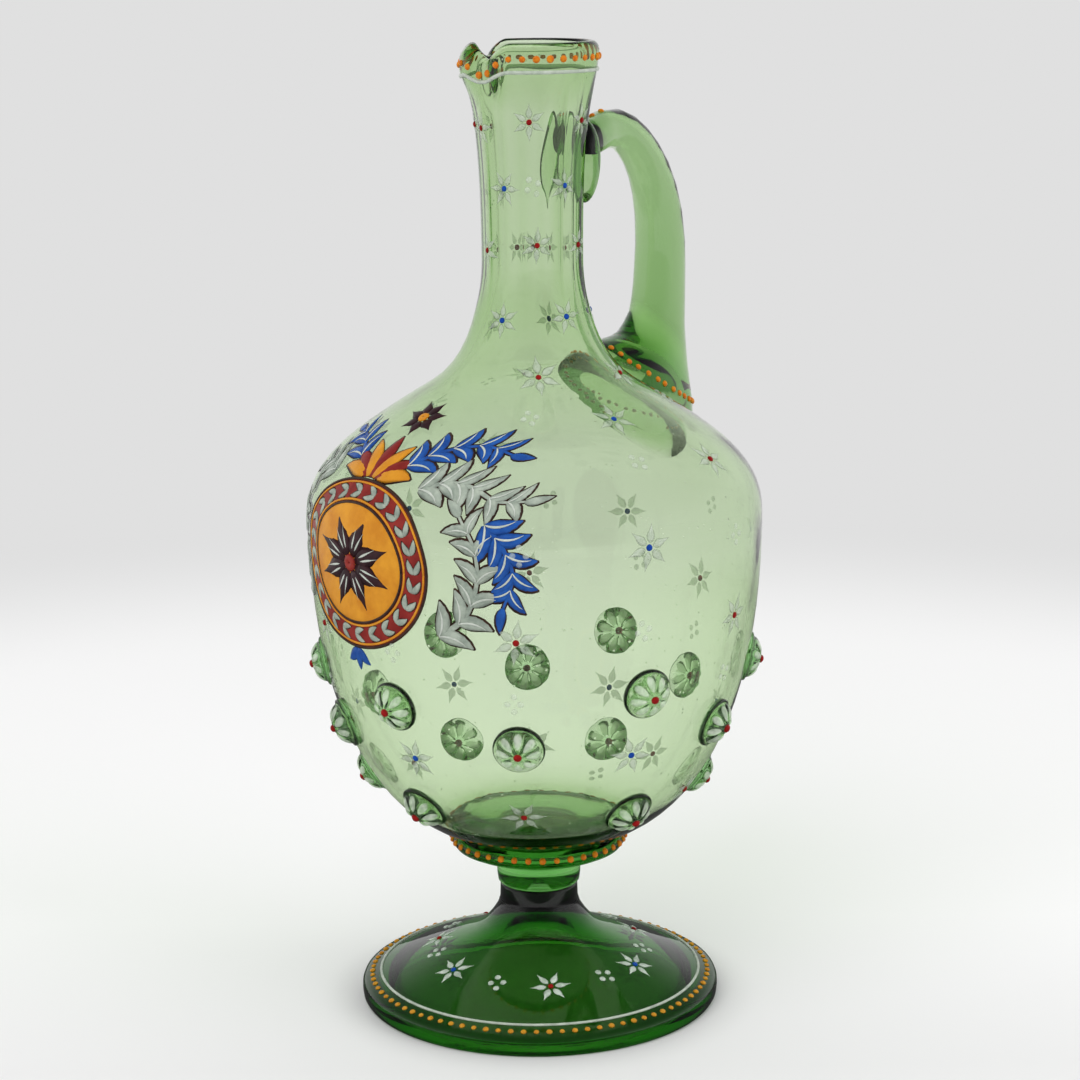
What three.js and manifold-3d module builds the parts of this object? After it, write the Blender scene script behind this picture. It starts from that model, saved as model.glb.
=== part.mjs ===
// Footed carafe of blown green glass with a pinched pouring lip, a faceted neck, a hollow
// handle and eighteen applied rosettes. Millimetres, +Z up.
// The origin is the centre of the resting ring under the foot. The handle points to +X and
// the pouring lip stands 131 degrees round from it.
import * as THREE from "three";
import { mergeVertices } from "three/addons/utils/BufferGeometryUtils.js";
import Module from "manifold-3d";

const wasm = await Module();
wasm.setup();

// Driving dimensions of the foot and its stem
const FOOT_RADIUS = 53.8;
const FOOT_EDGE_HEIGHT = 6.3; // upright edge of the foot
const FOOT_RING_WIDTH = 7; // flat ring that the carafe stands on
const FOOT_WALL = 5; // glass left between the top of the foot and its hollow underside
const STEM_RADIUS = 11.4;
const STEM_HEIGHT = 32; // from the table to the top of the stem

// Driving dimensions of the collar between stem and body
const COLLAR_RADIUS = 26.2;
const COLLAR_HEIGHT = 18.3;
const COLLAR_RIM_THICKNESS = 3.4;

// Driving dimensions of the body, neck and mouth
const BASE_RADIUS = 21.7; // flat that seats on the collar
const BELLY_RADIUS = 66.6;
const BELLY_RISE = 99; // from the base to the widest place
const NECK_RADIUS = 15.2; // at the narrowest place
const NECK_RISE = 174; // from the base to the narrowest place
const MOUTH_RADIUS = 19.6;
const VESSEL_HEIGHT = 234.7;
const BASE_WALL = 6;
const BODY_WALL = 2.4;
const NECK_WALL = 3.6;
const LIP_WALL = 3.8;

// Driving dimensions of the facets and the pouring lip
const FACETS = 8;
const FACET_SWELL = 1.015; // corners between facets stand this much out from the round neck
const FACET_TOP_DROP = 13; // from the mouth down to where the facets end
const FACET_LENGTH = 57;
const FACET_FADE = 16; // length over which the facets run out into the shoulder
const SPOUT_AZIMUTH = THREE.MathUtils.degToRad(131);
const SPOUT_PINCH = 4; // how far the wall is drawn in at each side of the lip
const SPOUT_PINCH_ANGLE = 25; // bearing of the pinch from the middle of the lip
const SPOUT_DIP = 5.4; // how far the rim sinks at each side of the lip
const SPOUT_TIP_DROP = 1; // how far the tip of the lip lies below the rim
const SPOUT_SPREAD = 72; // bearing at which the rim is level again
const SPOUT_LENGTH = 20; // how far down the neck the lip's shape reaches

// Driving dimensions of the handle
const HANDLE_FOOT_OFFSET = 44; // from the carafe's axis to the middle of the handle's foot
const HANDLE_FOOT_LENGTH = 58.6; // down the slope of the shoulder
const HANDLE_FOOT_WIDTH = 35;
const HANDLE_FLARE = 20; // length over which the foot narrows to the tube
const HANDLE_RADIUS = 7.7;
const HANDLE_TOP_RADIUS = 5.7;
const HANDLE_REACH = 61.8; // furthest that its centreline stands from the axis
const HANDLE_TOP_DROP = 27; // from the mouth down to the centreline at the arch
const HANDLE_WALL = 2.5;
const HOLLOW_LENGTH = 28; // mouth of the hollow under the handle's foot
const HOLLOW_WIDTH = 22;
const PAD_WIDTH = 17; // leaf of glass pressed onto the neck
const PAD_LENGTH = 29;
const PAD_THICKNESS = 5.4;
const PAD_LEAN = 0.37; // radians by which the leaf's point turns aside
const SIDE_LOBE_WIDTH = 15; // rounded lobe beside the leaf
const SIDE_LOBE_LENGTH = 23;
const SIDE_LOBE_THICKNESS = 3.3;
const SIDE_LOBE_TURN = -0.45; // radians round the neck from the handle's plane

// Driving dimensions of the rosettes
const PRUNT_RADIUS = 7.35;
const PRUNT_HEIGHT = 5.2;
const PETALS = 8;
// Height above the base of the body and bearing in degrees, as they were set by hand
const PRUNTS_UPPER = [[48, 14], [48, 68], [54, 129], [53, 179], [58, 248], [54, 309]];
const PRUNTS_MIDDLE = [[36, 42], [36, 102], [40, 147], [43.5, 214], [42.5, 278], [39, 344]];
const PRUNTS_LOWER = [[16.5, 10], [17, 71], [20.5, 129], [19.5, 176], [19, 252], [18.5, 309]];

const CLEARANCE = 0.3; // between applied glass and the wall that carries it
const RING_SIDES = 48;

const VESSEL_BASE = STEM_HEIGHT + COLLAR_HEIGHT;
const VESSEL_TOP = VESSEL_BASE + VESSEL_HEIGHT;

// Solids and meshes

function toSolid(geometry) {
  const bare = geometry.clone();
  bare.deleteAttribute("normal");
  bare.deleteAttribute("uv");
  const merged = mergeVertices(bare, 1e-4);
  return new wasm.Manifold(
    new wasm.Mesh({
      numProp: 3,
      vertProperties: merged.attributes.position.array,
      triVerts: new Uint32Array(merged.index.array),
    }),
  );
}

function toGeometry(solid) {
  const mesh = solid.getMesh();
  const geometry = new THREE.BufferGeometry();
  geometry.setAttribute("position", new THREE.BufferAttribute(mesh.vertProperties, 3));
  geometry.setIndex(new THREE.BufferAttribute(mesh.triVerts, 1));
  geometry.computeVertexNormals();
  return geometry;
}

// Skins a stack of rings into one closed solid, with a fan at each end. Each ring runs
// counter-clockwise seen from the side that the stack grows towards.
function skinRings(rings) {
  const sides = rings[0].length;
  const positions = [];
  const index = [];
  rings.forEach((ring) => ring.forEach((p) => positions.push(p.x, p.y, p.z)));
  for (let k = 0; k + 1 < rings.length; k++) {
    for (let i = 0; i < sides; i++) {
      const j = (i + 1) % sides;
      const a = k * sides + i;
      const b = k * sides + j;
      index.push(a, b, b + sides, a, b + sides, a + sides);
    }
  }
  const addFan = (ring, first, outwards) => {
    const centre = ring
      .reduce((sum, p) => sum.add(p), new THREE.Vector3())
      .divideScalar(sides);
    const hub = positions.length / 3;
    positions.push(centre.x, centre.y, centre.z);
    for (let i = 0; i < sides; i++) {
      const j = (i + 1) % sides;
      if (outwards) index.push(hub, first + i, first + j);
      else index.push(hub, first + j, first + i);
    }
  };
  addFan(rings[0], 0, false);
  addFan(rings[rings.length - 1], (rings.length - 1) * sides, true);
  const geometry = new THREE.BufferGeometry();
  geometry.setAttribute("position", new THREE.Float32BufferAttribute(positions, 3));
  geometry.setIndex(index);
  return geometry;
}

// An oval ring of points around a centre, with the two half axes given as vectors.
function ovalRing(centre, halfU, halfV, sides) {
  return Array.from({ length: sides }, (_, i) => {
    const angle = (2 * Math.PI * i) / sides;
    return centre
      .clone()
      .addScaledVector(halfU, Math.cos(angle))
      .addScaledVector(halfV, Math.sin(angle));
  });
}

function smooth(value, from, to) {
  return THREE.MathUtils.smoothstep(value, from, to);
}

function bell(value, width) {
  return Math.exp(-((value / width) ** 2));
}

// Outline of the body and neck, as radius and height, from the base up to the lip

const SHOULDER = {
  radius: THREE.MathUtils.lerp(NECK_RADIUS, BELLY_RADIUS, 0.287),
  height: VESSEL_BASE + THREE.MathUtils.lerp(BELLY_RISE, NECK_RISE, 0.51),
};
const BELLY_HEIGHT = VESSEL_BASE + BELLY_RISE;
const NECK_HEIGHT = VESSEL_BASE + NECK_RISE;
const LIP_HEIGHT = VESSEL_TOP - LIP_WALL;

function vesselOutline() {
  const rise = NECK_HEIGHT - BELLY_HEIGHT;
  const reach = BELLY_RADIUS - NECK_RADIUS;
  const flare = LIP_HEIGHT - NECK_HEIGHT;
  const path = new THREE.Path();
  path.moveTo(BASE_RADIUS, VESSEL_BASE + 1.2);
  path.bezierCurveTo(
    BASE_RADIUS + 0.66 * (BELLY_RADIUS - BASE_RADIUS), VESSEL_BASE + 0.08 * BELLY_RISE,
    BELLY_RADIUS, VESSEL_BASE + 0.46 * BELLY_RISE,
    BELLY_RADIUS, BELLY_HEIGHT,
  );
  path.bezierCurveTo(
    BELLY_RADIUS, BELLY_HEIGHT + 0.2 * rise,
    SHOULDER.radius + 0.49 * reach, SHOULDER.height - 0.205 * rise,
    SHOULDER.radius, SHOULDER.height,
  );
  path.bezierCurveTo(
    SHOULDER.radius - 0.3 * reach, SHOULDER.height + 0.128 * rise,
    NECK_RADIUS, NECK_HEIGHT - 0.05 * rise,
    NECK_RADIUS, NECK_HEIGHT,
  );
  path.bezierCurveTo(
    NECK_RADIUS, NECK_HEIGHT + 0.66 * flare,
    MOUTH_RADIUS - 1.6, LIP_HEIGHT - 0.27 * flare,
    MOUTH_RADIUS, LIP_HEIGHT,
  );
  return path;
}

const OUTLINE_STEPS = [7, 6, 5, 5]; // rings on each curve of the outline

// Points along the outline with the unit normal that faces away from the glass.
function outlineStations() {
  const stations = [];
  vesselOutline().curves.forEach((curve, c) => {
    const first = c === 0 ? 0 : 1;
    for (let k = first; k <= OUTLINE_STEPS[c]; k++) {
      const t = k / OUTLINE_STEPS[c];
      const point = curve.getPoint(t);
      const tangent = curve.getTangent(t);
      stations.push({ point, normal: new THREE.Vector2(tangent.y, -tangent.x) });
    }
  });
  return stations;
}

const STATIONS = outlineStations();

// Radius, height and normal of the outline at a height, between two of its stations.
function outlineAt(height) {
  const last = STATIONS.length - 1;
  let k = 0;
  while (k < last - 1 && STATIONS[k + 1].point.y < height) k++;
  const low = STATIONS[k];
  const high = STATIONS[k + 1];
  const share = (height - low.point.y) / (high.point.y - low.point.y);
  return {
    radius: THREE.MathUtils.lerp(low.point.x, high.point.x, share),
    normal: low.normal.clone().lerp(high.normal, share).normalize(),
  };
}

// Height of the shoulder's outside at a radius between the neck and the belly.
function shoulderHeightAt(radius) {
  let low = BELLY_HEIGHT;
  let high = NECK_HEIGHT;
  for (let k = 0; k < 40; k++) {
    const middle = (low + high) / 2;
    if (outlineAt(middle).radius > radius) low = middle;
    else high = middle;
  }
  return low;
}

function wallAt(height) {
  const base = BODY_WALL + (BASE_WALL - BODY_WALL) * bell(height - VESSEL_BASE, 9);
  const neck = smooth(height, SHOULDER.height, NECK_HEIGHT);
  const lip = smooth(height, LIP_HEIGHT - SPOUT_LENGTH, LIP_HEIGHT);
  return base + (NECK_WALL - BODY_WALL) * neck + (LIP_WALL - NECK_WALL) * lip;
}

// Bearing of one corner between two facets, two and a quarter facets short of the lip
const FACET_CORNER = SPOUT_AZIMUTH - (2.25 * 2 * Math.PI) / FACETS;

// Angles of a ring: even steps, with steps of half the size beside the pouring lip.
function ringAngles() {
  const step = (2 * Math.PI) / RING_SIDES;
  const angles = [];
  for (let k = 0; k < RING_SIDES; k++) {
    const angle = FACET_CORNER + k * step;
    angles.push(angle);
    const offSpout = Math.abs(angle + step / 2 - SPOUT_AZIMUTH);
    if (offSpout < 4.6 * step) angles.push(angle + step / 2);
  }
  return angles;
}

const RING_ANGLES = ringAngles();

// Distance of a flat facet from the axis, as a share of the round neck's radius.
function facetShare(angle) {
  const span = (2 * Math.PI) / FACETS;
  const turn = THREE.MathUtils.euclideanModulo(angle - FACET_CORNER, span) - span / 2;
  return (FACET_SWELL * Math.cos(span / 2)) / Math.cos(turn);
}

// A point of the vessel: the round outline, pressed into facets on the neck and drawn
// into the pouring lip at the mouth.
function vesselPoint(radius, height, angle, faceted) {
  const facetTop = VESSEL_TOP - FACET_TOP_DROP;
  const facetFoot = facetTop - FACET_LENGTH;
  const facets = faceted && height < facetTop
    ? smooth(height, facetFoot - FACET_FADE / 2, facetFoot + FACET_FADE / 2)
    : 0;
  const off = THREE.MathUtils.radToDeg(Math.abs(angle - SPOUT_AZIMUTH));
  const lip = smooth(height, VESSEL_TOP - SPOUT_LENGTH, VESSEL_TOP - LIP_WALL);
  const pinch = SPOUT_PINCH * bell(off - SPOUT_PINCH_ANGLE, 14);
  const valley = smooth(off, 4, 21) * (1 - smooth(off, 38, SPOUT_SPREAD));
  const dip = SPOUT_DIP * valley + SPOUT_TIP_DROP * bell(off, 12);
  const around = radius * THREE.MathUtils.lerp(1, facetShare(angle), facets) - lip * pinch;
  return new THREE.Vector3(
    around * Math.cos(angle),
    around * Math.sin(angle),
    height - lip * lip * dip,
  );
}

function vesselRing(radius, height, faceted) {
  return RING_ANGLES.map((angle) => vesselPoint(radius, height, angle, faceted));
}

// Vessel: one shell of glass, outside up, over the lip and inside down

function vesselSolid() {
  const facetTop = VESSEL_TOP - FACET_TOP_DROP;
  const outside = [];
  STATIONS.forEach(({ point }) => {
    const previous = outside[outside.length - 1];
    if (previous && previous.height < facetTop && point.y >= facetTop) {
      const { radius } = outlineAt(facetTop);
      outside.push({ radius, height: facetTop - 0.01 }, { radius, height: facetTop + 0.6 });
    }
    outside.push({ radius: point.x, height: point.y });
  });
  const inside = STATIONS.filter((_, k) => k % 2 === 0 || k > 15)
    .map(({ point, normal }) => ({
      radius: point.x - normal.x * wallAt(point.y),
      height: point.y - normal.y * wallAt(point.y),
    }))
    .reverse();
  const half = LIP_WALL / 2;
  const lip = [60, 90, 120].map((degrees) => {
    const turn = THREE.MathUtils.degToRad(degrees);
    return {
      radius: MOUTH_RADIUS - half + half * Math.cos(turn) * 1.1,
      height: LIP_HEIGHT + LIP_WALL * Math.sin(turn),
    };
  });
  const rings = [
    vesselRing(BASE_RADIUS - 1, VESSEL_BASE, false),
    ...outside.map((at) => vesselRing(at.radius, at.height, true)),
    ...lip.map((at) => vesselRing(at.radius, at.height, false)),
    ...inside.map((at) => vesselRing(at.radius, at.height, false)),
  ];
  return toSolid(skinRings(rings));
}

// The full outside of the vessel, grown by a clearance, which applied glass is cut by.
function vesselEnvelope(grow) {
  const rings = STATIONS.map(({ point, normal }) =>
    vesselRing(point.x + grow * normal.x, point.y + grow * normal.y, true),
  );
  return toSolid(skinRings([vesselRing(BASE_RADIUS, VESSEL_BASE, false), ...rings]));
}

// Collar: a dish-shaped disc with a short neck, between the stem and the body

function collarGeometry() {
  const dishTop = STEM_HEIGHT + COLLAR_HEIGHT;
  const rimFoot = dishTop - COLLAR_RIM_THICKNESS;
  const path = new THREE.Path();
  path.moveTo(0, STEM_HEIGHT);
  path.lineTo(STEM_RADIUS, STEM_HEIGHT);
  path.bezierCurveTo(
    STEM_RADIUS, STEM_HEIGHT + 6.5,
    STEM_RADIUS + 2.5, STEM_HEIGHT + 7.6,
    STEM_RADIUS + 5, STEM_HEIGHT + 8.5,
  );
  path.bezierCurveTo(
    STEM_RADIUS + 10, STEM_HEIGHT + 10,
    COLLAR_RADIUS - 1.6, rimFoot - 3.4,
    COLLAR_RADIUS - 0.5, rimFoot,
  );
  path.bezierCurveTo(
    COLLAR_RADIUS, rimFoot + 1.4,
    COLLAR_RADIUS + 0.2, dishTop,
    COLLAR_RADIUS - 1.6, dishTop,
  );
  path.lineTo(0, dishTop);
  return new THREE.LatheGeometry(path.getPoints(4), RING_SIDES).rotateX(Math.PI / 2);
}

// Foot: a low cone with an upright edge and a hollow underside, drawn up into the stem

function footGeometry() {
  const ringInside = FOOT_RADIUS - FOOT_RING_WIDTH;
  const neckFoot = { radius: STEM_RADIUS + 15.6, height: STEM_HEIGHT - 15.4 };
  const path = new THREE.Path();
  path.moveTo(0, 0.56 * STEM_HEIGHT);
  path.bezierCurveTo(
    8, 0.56 * STEM_HEIGHT,
    11, 0.53 * STEM_HEIGHT,
    15, neckFoot.height + FOOT_WALL - 7,
  );
  path.bezierCurveTo(
    22, neckFoot.height - FOOT_WALL,
    ringInside - 12, FOOT_EDGE_HEIGHT - FOOT_WALL + 2.4,
    ringInside, 0,
  );
  path.lineTo(FOOT_RADIUS - 0.9, 0);
  path.lineTo(FOOT_RADIUS, 0.9);
  path.lineTo(FOOT_RADIUS, FOOT_EDGE_HEIGHT - 0.9);
  path.bezierCurveTo(
    FOOT_RADIUS, FOOT_EDGE_HEIGHT,
    FOOT_RADIUS - 2, FOOT_EDGE_HEIGHT + 0.1,
    FOOT_RADIUS - 3, FOOT_EDGE_HEIGHT + 0.5,
  );
  path.lineTo(neckFoot.radius, neckFoot.height);
  path.bezierCurveTo(
    STEM_RADIUS + 6.6, STEM_HEIGHT - 11.6,
    STEM_RADIUS, STEM_HEIGHT - 9,
    STEM_RADIUS, STEM_HEIGHT,
  );
  path.lineTo(0, STEM_HEIGHT);
  return new THREE.LatheGeometry(path.getPoints(4), RING_SIDES).rotateX(Math.PI / 2);
}

// Handle: a blown tube with a flared foot on the shoulder and a leaf pressed onto the neck

const HANDLE_SIDES = 18;
const HANDLE_RINGS = 19;
const HANDLE_ARCH = VESSEL_TOP - HANDLE_TOP_DROP;

// The foot's oval lies on the slope between the shoulder's heights at its two ends.
const FOOT_HALF = HANDLE_FOOT_LENGTH / 2;
const FOOT_TILT = Math.atan2(
  shoulderHeightAt(HANDLE_FOOT_OFFSET - 0.73 * FOOT_HALF)
    - shoulderHeightAt(HANDLE_FOOT_OFFSET + 0.73 * FOOT_HALF),
  1.46 * FOOT_HALF,
);
const FOOT_CENTRE = new THREE.Vector3(
  HANDLE_FOOT_OFFSET,
  0,
  shoulderHeightAt(HANDLE_FOOT_OFFSET - 0.73 * FOOT_HALF) - 0.73 * FOOT_HALF * Math.tan(FOOT_TILT),
);
const FOOT_SLOPE = new THREE.Vector3(Math.cos(FOOT_TILT), 0, -Math.sin(FOOT_TILT));
const FOOT_NORMAL = new THREE.Vector3(Math.sin(FOOT_TILT), 0, Math.cos(FOOT_TILT));

function handleCentreline() {
  const at = (x, z) => new THREE.Vector3(x, 0, z);
  const base = FOOT_CENTRE;
  const bulge = THREE.MathUtils.lerp(base.z, HANDLE_ARCH, 0.55);
  const archX = HANDLE_REACH - 24.8; // where the arch is level
  const path = new THREE.CurvePath();
  path.add(new THREE.CubicBezierCurve3(
    base, at(base.x + 11, base.z + 10.6), at(HANDLE_REACH, bulge - 21), at(HANDLE_REACH, bulge),
  ));
  path.add(new THREE.CubicBezierCurve3(
    at(HANDLE_REACH, bulge), at(HANDLE_REACH, bulge + 24.3),
    at(archX + 9.7, HANDLE_ARCH), at(archX, HANDLE_ARCH),
  ));
  path.add(new THREE.CubicBezierCurve3(
    at(archX, HANDLE_ARCH), at(archX - 7, HANDLE_ARCH),
    at(NECK_RADIUS + 3, HANDLE_ARCH - 3), at(NECK_RADIUS - 4, HANDLE_ARCH - 5),
  ));
  return path;
}

// Half length and half width of the handle's outside at a run along its centreline.
function handleOval(run, length) {
  const tube = THREE.MathUtils.lerp(
    HANDLE_RADIUS, HANDLE_TOP_RADIUS, smooth(run, 0.36 * length, 0.8 * length),
  );
  const narrowing = (power) => Math.exp(-((run / HANDLE_FLARE) ** power));
  return [
    tube + (FOOT_HALF - tube) * narrowing(1.7),
    tube + (HANDLE_FOOT_WIDTH / 2 - tube) * narrowing(2.25),
  ];
}

// Half length and half width of the hollow inside it, which closes to a round end.
function hollowOval(run, length) {
  const narrowing = Math.exp(-((run / HANDLE_FLARE) ** 2));
  const end = 0.6 * length;
  const closing = Math.sqrt(Math.max(0.02, 1 - Math.max(0, (run - end + 9) / 9) ** 2));
  const tube = (HANDLE_RADIUS - HANDLE_WALL) * closing;
  return [
    tube + (HOLLOW_LENGTH / 2 - tube) * narrowing,
    tube + (HOLLOW_WIDTH / 2 - tube) * narrowing,
  ];
}

// Ovals along the centreline up to a share of its length, with one more sunk into the
// shoulder so that the shoulder's own shape can trim the foot.
function handleSweep(share, rootDepth, ovalAt) {
  const path = handleCentreline();
  const length = path.getLength();
  const sideways = new THREE.Vector3(0, 1, 0);
  const ringAt = (centre, slope, oval) => ovalRing(
    centre, slope.clone().multiplyScalar(oval[0]), sideways.clone().multiplyScalar(oval[1]),
    HANDLE_SIDES,
  );
  const root = FOOT_CENTRE.clone().addScaledVector(FOOT_NORMAL, -rootDepth);
  const rings = [ringAt(root, FOOT_SLOPE, ovalAt(0, length))];
  for (let k = 0; k <= HANDLE_RINGS; k++) {
    const at = share * (k / HANDLE_RINGS) ** 1.25;
    const level = new THREE.Vector3().crossVectors(sideways, path.getTangentAt(at));
    const slope = level.lerp(FOOT_SLOPE, bell(at * length, 17)).normalize();
    rings.push(ringAt(path.getPointAt(at), slope, ovalAt(at * length, length)));
  }
  return toSolid(skinRings(rings));
}

// A lobe of glass that follows the round of the neck; shapeAt gives for a share of the way
// up its half width as a share of the whole, its turn round the neck and its thickness.
function lobeSolid(top, length, width, shapeAt) {
  const steps = 7;
  const sides = 12;
  const rings = [];
  for (let k = 0; k <= steps; k++) {
    const share = k / steps;
    const height = top - length * (1 - share);
    const { swell, turn, thick } = shapeAt(share);
    const { radius } = outlineAt(height);
    const ring = [];
    for (let i = 0; i < sides; i++) {
      const around = (2 * Math.PI * i) / sides;
      const angle = turn + ((width / 2) * swell * Math.sin(around)) / radius;
      const out = radius - 2 + (thick + 2) * Math.cos(around);
      ring.push(new THREE.Vector3(out * Math.cos(angle), out * Math.sin(angle), height));
    }
    rings.push(ring);
  }
  return toSolid(skinRings(rings));
}

// The pad on the neck: a leaf, thick above with a thin point that leans to one side below,
// and a rounded lobe beside it.
function padSolid() {
  const leaf = lobeSolid(HANDLE_ARCH + 6, PAD_LENGTH, PAD_WIDTH, (share) => ({
    swell: Math.sin(Math.PI * Math.min(0.9, 0.09 + 1.1 * share ** 1.35)),
    turn: PAD_LEAN * (1 - smooth(share, 0, 0.45)),
    thick: PAD_THICKNESS
      * (0.25 + 0.75 * smooth(share, 0.02, 0.3) * (1 - 0.6 * smooth(share, 0.8, 1))),
  }));
  const lobe = lobeSolid(HANDLE_ARCH + 3, SIDE_LOBE_LENGTH, SIDE_LOBE_WIDTH, (share) => ({
    swell: Math.sin(Math.PI * (0.16 + 0.7 * share)),
    turn: SIDE_LOBE_TURN,
    thick: SIDE_LOBE_THICKNESS * Math.sin(Math.PI * (0.2 + 0.62 * share)),
  }));
  return leaf.add(lobe);
}

function handleSolid(envelope) {
  const outside = handleSweep(1, 6, handleOval);
  const hollow = handleSweep(0.6, 8, hollowOval);
  return outside.subtract(hollow).add(padSolid()).subtract(envelope);
}

// Rosette: a pad of glass with raised petals around a small boss, modelled upright

function rosetteGeometry() {
  const sides = 2 * PETALS;
  // Radius, height at a petal's crest and height in the groove beside it
  const steps = [
    [0.93, -0.6, -0.6],
    [1.0, 0.3, 0.3],
    [0.86, 0.7, 0.54],
    [0.52, 0.94, 0.66],
    [0.26, 0.8, 0.68],
    [0.18, 1.0, 1.0],
  ];
  const rings = steps.map(([share, crest, groove]) => {
    const radius = share * PRUNT_RADIUS;
    const ring = ovalRing(
      new THREE.Vector3(), new THREE.Vector3(radius, 0, 0), new THREE.Vector3(0, radius, 0), sides,
    );
    ring.forEach((p, i) => {
      p.z = PRUNT_HEIGHT * (i % 2 === 0 ? crest : groove);
    });
    return ring;
  });
  return skinRings(rings);
}

// Stands a rosette on the body: its height above the base and its bearing in degrees.
function placedRosette([rise, bearing], envelope) {
  const height = VESSEL_BASE + rise;
  const angle = THREE.MathUtils.degToRad(bearing);
  const { radius, normal } = outlineAt(height);
  const outwards = new THREE.Vector3(
    normal.x * Math.cos(angle), normal.x * Math.sin(angle), normal.y,
  );
  const sideways = new THREE.Vector3(-Math.sin(angle), Math.cos(angle), 0);
  const upwards = new THREE.Vector3().crossVectors(outwards, sideways);
  const place = new THREE.Matrix4()
    .makeBasis(sideways, upwards, outwards)
    .setPosition(radius * Math.cos(angle), radius * Math.sin(angle), height);
  return toSolid(rosetteGeometry().applyMatrix4(place)).subtract(envelope);
}

// Materials

const paleGlass = { color: 0xa9c49a, roughness: 0.06, metalness: 0 };
const deepGlass = { color: 0x2c5a2a, roughness: 0.06, metalness: 0 };
const handleGlass = { color: 0x86ad74, roughness: 0.06, metalness: 0 };

function piece(name, geometry, glass) {
  const mesh = new THREE.Mesh(geometry, new THREE.MeshStandardMaterial(glass));
  mesh.name = name;
  return mesh;
}

// Assembly

const carafe = new THREE.Group();
const envelope = vesselEnvelope(CLEARANCE);
carafe.add(piece("vessel", toGeometry(vesselSolid()), paleGlass));
carafe.add(piece("collar", collarGeometry(), deepGlass));
carafe.add(piece("foot", footGeometry(), deepGlass));
carafe.add(piece("handle", toGeometry(handleSolid(envelope)), handleGlass));

const rosettes = new THREE.Group();
const rows = { upper: PRUNTS_UPPER, middle: PRUNTS_MIDDLE, lower: PRUNTS_LOWER };
Object.entries(rows).forEach(([row, places]) => {
  places.forEach((place, k) => {
    const solid = placedRosette(place, envelope);
    rosettes.add(piece(`prunt_${row}_${k + 1}`, toGeometry(solid), deepGlass));
  });
});
carafe.add(rosettes);

export default carafe;
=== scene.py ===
"""Footed carafe of blown green glass with beads, stars, rosettes and a painted medallion.

Laid out as a Blender add-on and run as a script. Every length below is in millimetres
unless it says otherwise; the pieces themselves are made in metres.
"""
import math

import bpy
from mathutils import Matrix, Vector
from mathutils.bvhtree import BVHTree


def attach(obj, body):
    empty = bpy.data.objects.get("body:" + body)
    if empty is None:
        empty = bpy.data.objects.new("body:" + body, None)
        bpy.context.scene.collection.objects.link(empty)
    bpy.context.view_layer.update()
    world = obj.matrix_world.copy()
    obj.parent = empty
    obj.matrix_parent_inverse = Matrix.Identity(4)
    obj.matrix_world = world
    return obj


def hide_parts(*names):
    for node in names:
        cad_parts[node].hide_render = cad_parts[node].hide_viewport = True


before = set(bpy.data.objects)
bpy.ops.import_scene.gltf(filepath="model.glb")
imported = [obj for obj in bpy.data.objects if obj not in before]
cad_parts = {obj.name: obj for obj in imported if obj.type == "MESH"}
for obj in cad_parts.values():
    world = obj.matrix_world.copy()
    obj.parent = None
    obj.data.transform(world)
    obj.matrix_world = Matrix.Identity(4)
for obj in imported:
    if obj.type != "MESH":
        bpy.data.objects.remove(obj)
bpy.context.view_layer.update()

bl_info = {
    "name": "Enamelled glass carafe",
    "version": (1, 0, 0),
    "blender": (4, 5, 0),
    "location": "3D View > Sidebar > Carafe",
    "description": "Models a footed green glass carafe with fired enamel decoration",
    "category": "Add Mesh",
}

MM = 0.001

# ---------------------------------------------------------------------------
# Shape of the glass
# ---------------------------------------------------------------------------

SPOUT = math.radians(131)
RIM = 281.2
# Beside the spout, in degrees: the rim sinks from the first to the second and comes up
# again from the third to the fourth, and the wall is pinched in at the third
VALLEY = (13, 37, 40, 70)
VALLEY_DEPTH, TIP_DROP, PINCH = 4.6, 0.8, 2.0
# Flat facets of the neck, and the heights between which they come in and fade out
FACETS = 8
FACETS_IN, FACETS_OUT = (206, 223), (263, 279)
FACET_CORNER = SPOUT - 2.25 * math.tau / FACETS
AROUND = 144
# Bearing in which the camera looks, and the same as a level direction
HEADING = math.radians(39)
AHEAD = (math.cos(HEADING), math.sin(HEADING), 0.0)

# Underside of the vessel, then its outside as four smooth curves: radius and height
BODY_BASE = ((0, 50.25), (12, 50.25), (20.2, 50.3))
BODY_CURVES = (
    ((21.7, 51.5), (51.33, 58.2), (66.6, 95.8), (66.6, 149.3)),
    ((66.6, 149.3), (66.6, 164.3), (55.14, 172.2), (29.95, 187.55)),
    ((29.95, 187.55), (14.53, 197.15), (15.2, 220.55), (15.2, 224.3)),
    ((15.2, 224.3), (15.2, 261.85), (18.0, 265.84), (19.6, RIM)),
)
BODY_STEPS = (22, 14, 12, 22)
# Thickness of the body's wall, what the neck and the base have beside it, and the floor
BODY_WALL, NECK_EXTRA, BASE_EXTRA = 2.0, 1.9, 2.2
FLOOR = 56.8
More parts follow.
